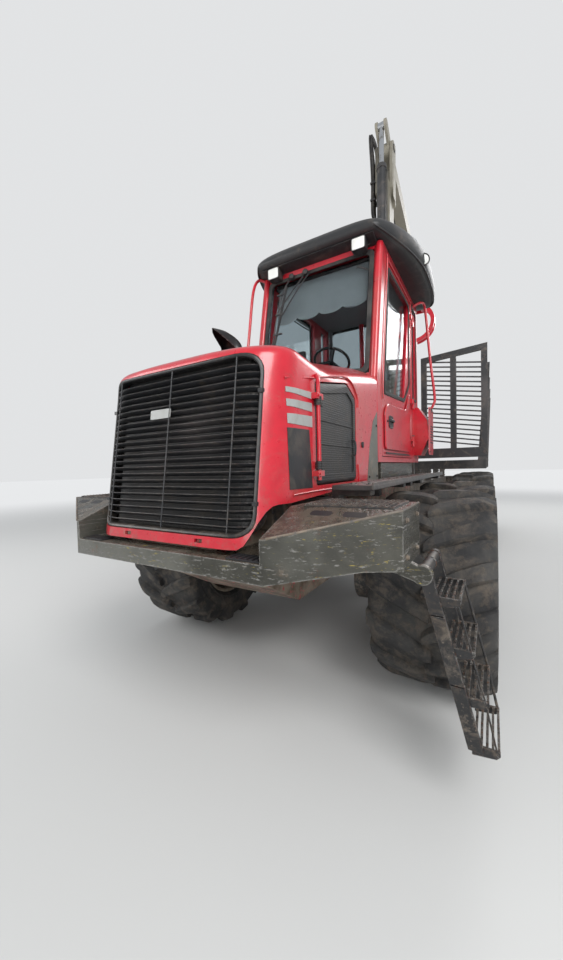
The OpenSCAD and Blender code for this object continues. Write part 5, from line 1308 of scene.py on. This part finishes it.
def make_ladder():
    """Hanging ladder: two flat rails on the inner side, grated box treads, a strap at the outer rear corners."""
    steel = Shape()
    for x0, x1, foot in ((4.779, 4.805, 0.335), (4.455, 4.481, 0.330)):
        side = [(ladder_y(z), z) for z in (1.095, 0.90, 0.60, foot)]
        for (ya, za), (yb, zb) in zip(side, side[1:]):
            bar = [(ya - 0.030, za + 0.004), (yb - 0.030, zb - 0.004), (yb + 0.030, zb - 0.004), (ya + 0.030, za + 0.004)]
            steel.prism(bar, x0, x1, "x")
        steel.turn([(0.034, x0), (0.034, x1)], LADDER_PIN, "x", 24)
    bush = [(0.0165, 4.436), (0.029, 4.436), (0.029, 4.819), (0.0165, 4.819)]
    steel.turn(bush, LADDER_PIN, "x", 24, caps=False)
    for x in (4.440, 4.624, 4.812):
        collar = [(0.0165, x - 0.006), (0.032, x - 0.006), (0.032, x + 0.006), (0.0165, x + 0.006)]
        steel.turn(collar, LADDER_PIN, "x", 24, caps=False)
    treads = []
    for z, wide in ((0.985, 0.130), (0.765, 0.125), (0.560, 0.122), (0.356, 0.108)):
        y0 = ladder_y(z) - 0.010
        y1 = y0 + wide
        treads.append((y1, z))
        # Deep face plates in front and behind, a thin band outside, bars that run front to back
        for x0, x1 in ((4.781, 4.795), (4.465, 4.477)):
            steel.prism([(y0, z - 0.048), (y1 - 0.015, z - 0.036), (y1, z - 0.020), (y1, z), (y0, z)], x0, x1, "x")
        for y in spread(y0 + 0.014, y1 - 0.006, 4):
            steel.box((4.472, 4.790), (y - 0.005, y + 0.005), (z - 0.024, z))
            for x in spread(4.500, 4.760, 8):
                steel.box((x - 0.006, x + 0.006), (y - 0.005, y + 0.005), (z - 0.001, z + 0.004))
    for (ya, za), (yb, zb) in zip(treads, treads[1:]):
        steel.tube([(4.468, ya - 0.008, za - 0.01), (4.466, yb - 0.008, zb - 0.01)], 0.007, 8)
        steel.tube([(4.790, ya - 0.010, za - 0.03), (4.792, yb - 0.010, zb - 0.02)], 0.0045, 6)
    piece("ladder_steel", "ladder", "ladder", steel, edge=0.002, stands_for="ladder")


def on_toe(a, y, up):
    """A point of the step's sloping toe."""
    return (5.050 + a * 0.925, y, 1.3875 - a * 0.380 + up)


def make_bumper():
    """Gratings, slots, welds and bolts on the bumper and its two winged steps."""
    deck, pans, steel = Shape(), Shape(), Shape()
    for side in (-1, 1):
        # Grating: toothed bars across a dark pan on the step's top
        lo, hi = sorted((side * 0.735, side * 1.150))
        for x in spread(4.700, 4.994, 12):
            deck.box((x - 0.0035, x + 0.0035), (lo, hi), (1.398, 1.4095))
            for y in spread(lo + 0.016, hi - 0.016, 14):
                deck.box((x - 0.0035, x + 0.0035), (y - 0.006, y + 0.006), (1.409, 1.4135))
        for y in (lo, (lo + hi) / 2, hi):
            deck.box((4.690, 5.004), (y - 0.004, y + 0.004), (1.398, 1.410))
    piece("step_gratings", "root", "dark", deck, edge=0)
    for side in (-1, 1):
        pans.box((4.688, 5.006), (side * 0.728, side * 1.156), (1.398, 1.4035))
        # Oblong grip slots in the sloping toe of the step
        for y0, y1 in ((0.800, 0.905), (0.955, 1.060)):
            slot = oblong((0.0, 0.045), sorted((side * y0, side * y1)), 0.02, 4)
            pans.loft([[on_toe(a, y, up) for a, y in slot] for up in (-0.004, 0.0012)])
    # Rubber tread plate at each inner front corner
    for side in (-1, 1):
        lo, hi = sorted((side * 0.470, side * 0.660))
        pans.prism(rounded([(5.285, lo), (5.285, hi), (5.195, hi), (5.195, lo)], 0.01, 3), 1.180, 1.188, "z")
        for y in spread(lo + 0.02, lo + 0.17, 5):
            pans.box((5.202, 5.278), (y - 0.006, y + 0.006), (1.186, 1.192))
    piece("step_pans", "root", "plastic", pans, edge=0.001)
    steel.bolts([5.2885], (-0.62, -0.31, 0.31, 0.62), (1.112, 1.158), "x", 0.0095)
    wing = ((4.655, 1.193, 1.398), (5.018, 1.193, 1.398), (5.2, 0.868, 1.327), (5.293, 0.70, 1.291))
    for side in (-1, 1):
        # Weld seams along the wing's edges and bolts on its side
        steel.tube([(x, side * y, z) for x, y, z in wing], 0.0055, 6)
        steel.bolts((4.72, 4.95), [side * 1.194], (1.19, 1.35), "y", 0.010, side)
    # Nut on the end of the ladder's pin
    steel.turn([(0.0150, 4.822), (0.026, 4.822), (0.026, 4.832), (0.015, 4.832)], LADDER_PIN, "x", 20, caps=False)
    piece("bumper_fittings", "root", "cast", steel, edge=0.0008)


def make_walkways():
    """Chequered tops, toe bars and bracket bolts of the walkways."""
    for side, tag in SIDES:
        tread = Shape()
        for i in range(46):
            for k in range(4):
                x, y = 1.62 + i * 0.0645, side * (0.752 + k * 0.055 + 0.0275 * (i % 2))
                if abs(y) > 0.945:
                    continue
                a = math.radians(45 if (i + k) % 2 else -45)
                c, s = math.cos(a), math.sin(a)
                low = [(x + p * c - q * s, y + p * s + q * c) for p, q in ((-0.013, 0), (0, -0.0045), (0.013, 0), (0, 0.0045))]
                tread.loft([[(p, q, z) for p, q in scaled(low, (x, y), share)]
                            for z, share in ((1.4795, 1), (1.4825, 0.7))])
        tread.box((1.525, 4.625), (side * 0.952, side * 0.959), (1.478, 1.494))
        tread.bolts((1.60, 2.90, 3.36, 3.64, 4.50), (side * 0.80, side * 0.90), [1.480], "z", 0.009)
        piece("walkway_tread_" + tag, "root", "dark", tread, edge=0)


def make_frame_fittings():
    """Bolts, stake collars, tow plates and tail lamps on the frames and the bogies."""
    front, rear, lamps = Shape(), Shape(), Shape()
    for side in (-1, 1):
        # Bogie hubs: bolted covers on the outer side of each beam
        front.bolt_ring((BOGIE_HUBS[0], side * BOGIE_SIDE_Y, BOGIE_Z), 0.125, 12, "y", 0.010, side)
        front.bolts((4.30, 4.10, 3.90, 3.70), [side * 0.401], (1.15, 0.80), "y", 0.012, side)
    piece("front_frame_bolts", "root", "cast", front, edge=0)
    for side in (-1, 1):
        rear.bolt_ring((BOGIE_HUBS[1], side * BOGIE_SIDE_Y, BOGIE_Z), 0.125, 12, "y", 0.010, side)
        for x in BUNKS:
            rear.bolts((x - 0.050, x + 0.050), [side * 0.3205], (1.30, 1.44), "y", 0.012, side)
            # Stake sockets: collars where the stakes stand in the bunk
            rear.box((x - 0.068, x + 0.068), (side * 1.300, side * 1.426), (1.660, 1.700))
    # Tow plate edges and reflectors at the rear
    for side in (-1, 1):
        rear.turn([(0.045, -5.2995), (0.045, -5.2945), (0.045, -5.290)], (0, side * 0.95, 1.16), "x", 24)
        rear.prism(oblong((side * 0.62, side * 0.86), (1.10, 1.21), 0.02, 3), -5.2995, -5.285, "x")
    piece("rear_frame_fittings", "rear", "cast", rear, edge=0.0015)
    for side in (-1, 1):
        for y0, y1 in ((0.635, 0.735), (0.745, 0.845)):
            lens = oblong(sorted((side * y0, side * y1)), (1.115, 1.195), 0.012, 3)
            lamps.prism(lens, -5.3000, -5.2985, "x")
    piece("tail_lamps", "rear", "red", lamps, edge=0)


make_ladder()
make_bumper()
make_walkways()
make_frame_fittings()


# Crane: places along its booms, off their middle lines
PIVOT = Vector((0.500, 0, 3.300))
MAIN_TURN, OUTER_TURN, LEVER_TURN = math.radians(88), math.radians(20), math.radians(155)
MAIN = Vector((-math.cos(MAIN_TURN), 0, math.sin(MAIN_TURN)))
MAIN_OFF = Vector((math.sin(MAIN_TURN), 0, math.cos(MAIN_TURN)))
ELBOW = PIVOT + MAIN * 3.5
OUTER = Vector((-math.cos(OUTER_TURN), 0, -math.sin(OUTER_TURN)))
OUTER_OFF = Vector((-math.sin(OUTER_TURN), 0, math.cos(OUTER_TURN)))
ACROSS = Vector((0, 1, 0))
GATE_FRONT = -0.064


def on_main(s, off, y):
    return PIVOT + MAIN * s + MAIN_OFF * off + ACROSS * y


def on_outer(s, off, y):
    return ELBOW + OUTER * s + OUTER_OFF * off + ACROSS * y


# Hoses on the right side of the booms: place off the middle line, and layer
HOSES = [(0.118, 0), (0.084, 0), (0.050, 0), (0.016, 0), (-0.018, 0), (0.101, 1), (0.067, 1), (0.033, 1)]
HOSE_R = 0.0135


def strap(shape, on_boom, stations, half, off, y):
    """Flat blocks across the hoses, at stations along a boom."""
    section = ((off[0], y[0]), (off[0], y[1]), (off[1], y[1]), (off[1], y[0]))
    for s in stations:
        shape.loft([[on_boom(s + d, o, across) for o, across in section] for d in (-half, half)])


def make_boom_hoses():
    along, arch, outer, clips, more = Shape(), Shape(), Shape(), Shape(), Shape()
    for n, (off, layer) in enumerate(HOSES):
        y_low, y_high, y_outer = -0.1165 - 0.029 * layer, -0.1720 - 0.029 * layer, -0.106 - 0.028 * layer
        along.curve([on_main(0.40 + 0.03 * n, off * 0.5, y_low), on_main(0.9, off, y_low), on_main(2.2, off, y_low),
                     on_main(2.50, off, y_high), on_main(3.02, off, y_high)], 7, HOSE_R, 8)
        reach = 0.205 + 0.45 * (off + 0.018) + 0.012 * layer
        place = 0.020 + 0.55 * off
        over = [on_main(3.02, off, y_high), on_main(3.24, off + 0.03, y_high)]
        for a in map(math.radians, (38, 68, 98, 128)):
            over.append(ELBOW + Vector((reach * math.cos(a), y_high, min(reach * math.sin(a), 0.270))))
        over += [on_outer(0.34, 0.085 + 0.25 * (off - 0.05), y_high + 0.02), on_outer(0.56, place, y_outer)]
        arch.curve(over, 6, HOSE_R, 8)
        outer.tube([on_outer(s, place, y_outer) for s in (0.555, 1.0, 1.95 if n % 2 else 1.80)], HOSE_R, 8)
    piece("boom_hoses", "main_boom", "hose", along, edge=0, angle=60)
    piece("outer_hoses", "outer_boom", "hose", outer, edge=0, angle=60)
    loop = loose("hose_arch", arch, "hose")
    round_edges(loop, 0, angle=60)
    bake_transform(loop)
    for s in (0.70, 1.15, 1.80, 2.15):
        strap(clips, on_main, [s], 0.016, (-0.045, 0.142), (-0.098, -0.162))
        clips.bolt(on_main(s, 0.13, -0.162), "y", 0.008, -1)
    strap(clips, on_main, (2.70, 2.98), 0.014, (-0.045, 0.142), (-0.138, -0.218))
    piece("hose_clips", "main_boom", "dark", clips, edge=0.003)
    strap(more, on_outer, (0.75, 1.35, 1.90), 0.014, (-0.010, 0.104), (-0.087, -0.150))
    # Valve block where the hoses end
    strap(more, on_outer, [2.02], 0.08, (-0.04, 0.106), (-0.088, -0.135))
    piece("outer_clips", "outer_boom", "dark", more, edge=0.003)


def make_cylinder_fittings():
    """Gland nut, collar and steel oil pipe on each barrel, from its eye towards its rod."""
    lift_a = Vector((0.170, 0, 1.870))
    lift_b = PIVOT + MAIN * 1.05 - MAIN_OFF * 0.26
    fold_a = PIVOT + MAIN * 1.5 + MAIN_OFF * 0.26
    fold_b = ELBOW + OUTER * (0.33 * math.cos(LEVER_TURN)) + OUTER_OFF * (0.33 * math.sin(LEVER_TURN))
    lift_end = (lift_b - lift_a).length - 0.620
    for name, a, b, r, rod, start, end in (("lift", lift_a, lift_b, 0.085, 0.0455, 0.14, lift_end),
                                           ("fold", fold_a, fold_b, 0.070, 0.0405, 0.24, 1.600)):
        form = Shape()
        way = (b - a).normalized()
        gland = [(r - 0.002, end - 0.075), (r + 0.010, end - 0.072), (r + 0.010, end - 0.020), (r + 0.004, end - 0.004),
                 (rod + 0.012, end + 0.010), (rod + 0.002, end + 0.010), (rod + 0.002, end - 0.004)]
        collar = [(r - 0.002, start), (r + 0.007, start + 0.003), (r + 0.007, start + 0.040), (r - 0.002, start + 0.043)]
        for profile in (gland, collar):
            form.hoop([circle(a + way * s, radius, ACROSS, way.cross(ACROSS), 28) for radius, s in profile])
        pipe = ((start + 0.06, 0.002), (start + 0.075, 0.016), (end - 0.12, 0.016), (end - 0.10, 0.002))
        form.tube([a + way * s + ACROSS * (r + out) for s, out in pipe], 0.009, 8)
        piece(name + "_gland", name + "_barrel", "dark", form, edge=0.001, angle=40)


def make_crane_fittings():
    pillar, caps, plates, links = Shape(), Shape(), Shape(), Shape()
    pillar.bolt_ring((PIVOT.x, 0, 1.650), 0.235, 20, "z", 0.012)
    for z in (1.90, 2.30, 2.70):
        pillar.turn([(0.1695, z), (0.176, z + 0.004), (0.176, z + 0.030), (0.1695, z + 0.034)], (PIVOT.x, 0, 0), "z", 40)
    for side in (-1, 1):
        pin = [(0.040, side * 0.160), (0.040, side * 0.168), (0.016, side * 0.168), (0.016, side * 0.174)]
        pillar.turn(pin, PIVOT, "y", 24)
    piece("pillar_fittings", "crane_pillar", "cast", pillar, edge=0.001)
    r = 0.060
    for side in (-1, 1):
        cap = [(r, side * 0.1405), (r, side * 0.150), (r * 0.7, side * 0.154), (r * 0.3, side * 0.1545)]
        caps.turn(cap, ELBOW, "y", 28)
        caps.bolt_ring(ELBOW + ACROSS * side * 0.150, r * 0.75, 6, "y", 0.006, side)
    piece("elbow_caps", "main_boom", "cast", caps, edge=0.001)
    # Stiffening plates welded on the main boom's sides; the hoses take the upper one's place on the right
    for side, s0, s1, y in ((-1, 0.25, 0.62, 0.1), (1, 0.25, 0.62, 0.1), (1, 2.66, 3.22, 0.14)):
        out = rounded([(s0, -0.085), (s1, -0.070), (s1, 0.070), (s0, 0.085)], 0.03, 4)
        plates.loft([[on_main(s, off, side * (y + d)) for s, off in out] for d in (-0.001, 0.007)])
    piece("boom_plates", "main_boom", "boom", plates, edge=0.0015)
    # Tie rods and bolts on the gate
    for side in (-1, 1):
        links.tube([(-0.12, side * 1.395, 1.86), (-0.12, side * 1.395, 3.46)], 0.012, 8)
        for z, size in ((1.78, 0.012), (3.30, 0.010)):
            links.bolts([GATE_FRONT], (side * 0.495, side * 0.955, side * 1.405), [z], "x", size)
    piece("gate_fittings", "rear", "dark", links, edge=0.001)


make_boom_hoses()
make_cylinder_fittings()
make_crane_fittings()


# Light and floor
BACKDROP = (0.76, 0.77, 0.78)
FLOOR_HALF = 90.0
LIT_MIDDLE = Vector((0.8, 0, 1.6))
# Soft panels of light: name, place, size, power
PANELS = [("key_panel", (9.5, 7.5, 8.5), 6.0, 900.0), ("fill_panel", (9.0, -8.0, 6.0), 7.0, 420.0),
          ("back_panel", (-9.0, 3.0, 9.0), 7.0, 620.0), ("low_panel", (10.5, 4.5, 2.8), 4.0, 130.0)]


def make_stage():
    floor_mat = Nodes("floor_plain")
    reach = floor_mat.make("VectorMath", "Value", {0: floor_mat.place}, operation="LENGTH")
    far = floor_mat.band(reach, 7.0, 22.0)
    floor_mat.set(Base_Color=floor_mat.mix(far, (0.62, 0.62, 0.61), (0.02, 0.02, 0.02)), Roughness=0.95,
                  Emission_Color=BACKDROP, Emission_Strength=far,
                  Normal=floor_mat.bump(floor_mat.noise(2.0, 3), 0.004, 0.15))
    mesh = bpy.data.meshes.new("floor")
    corners = [(x * FLOOR_HALF, y * FLOOR_HALF, -0.003) for x, y in ((-1, -1), (1, -1), (1, 1), (-1, 1))]
    mesh.from_pydata(corners, [], [(0, 1, 2, 3)])
    mesh.materials.append(floor_mat.mat)
    floor = bpy.data.objects.new("floor", mesh)
    scene = bpy.context.scene
    scene.collection.objects.link(floor)

    # The sky lights the scene; the camera sees a plain backdrop in its place
    world = bpy.data.worlds.new("sky")
    world.use_nodes = True
    nodes, links = world.node_tree.nodes, world.node_tree.links
    sky, plain = nodes["Background"], nodes.new("ShaderNodeBackground")
    sky.inputs["Color"].default_value = (0.80, 0.83, 0.86, 1)
    sky.inputs["Strength"].default_value = 0.62
    plain.inputs["Color"].default_value = (*BACKDROP, 1)
    path, pick = nodes.new("ShaderNodeLightPath"), nodes.new("ShaderNodeMixShader")
    for i, output in enumerate((path.outputs["Is Camera Ray"], sky.outputs[0], plain.outputs[0])):
        links.new(output, pick.inputs[i])
    links.new(pick.outputs[0], nodes["World Output"].inputs["Surface"])
    scene.world = world

    for name, place, size, power in PANELS:
        data = bpy.data.lights.new(name, "AREA")
        data.shape = "DISK"
        data.size = size
        data.energy = power
        lamp = bpy.data.objects.new(name, data)
        lamp.location = place
        lamp.rotation_mode = "QUATERNION"
        lamp.rotation_quaternion = (LIT_MIDDLE - Vector(place)).to_track_quat("-Z", "Y")
        scene.collection.objects.link(lamp)
    scene.view_settings.view_transform = "Standard"


make_camera()
make_stage()
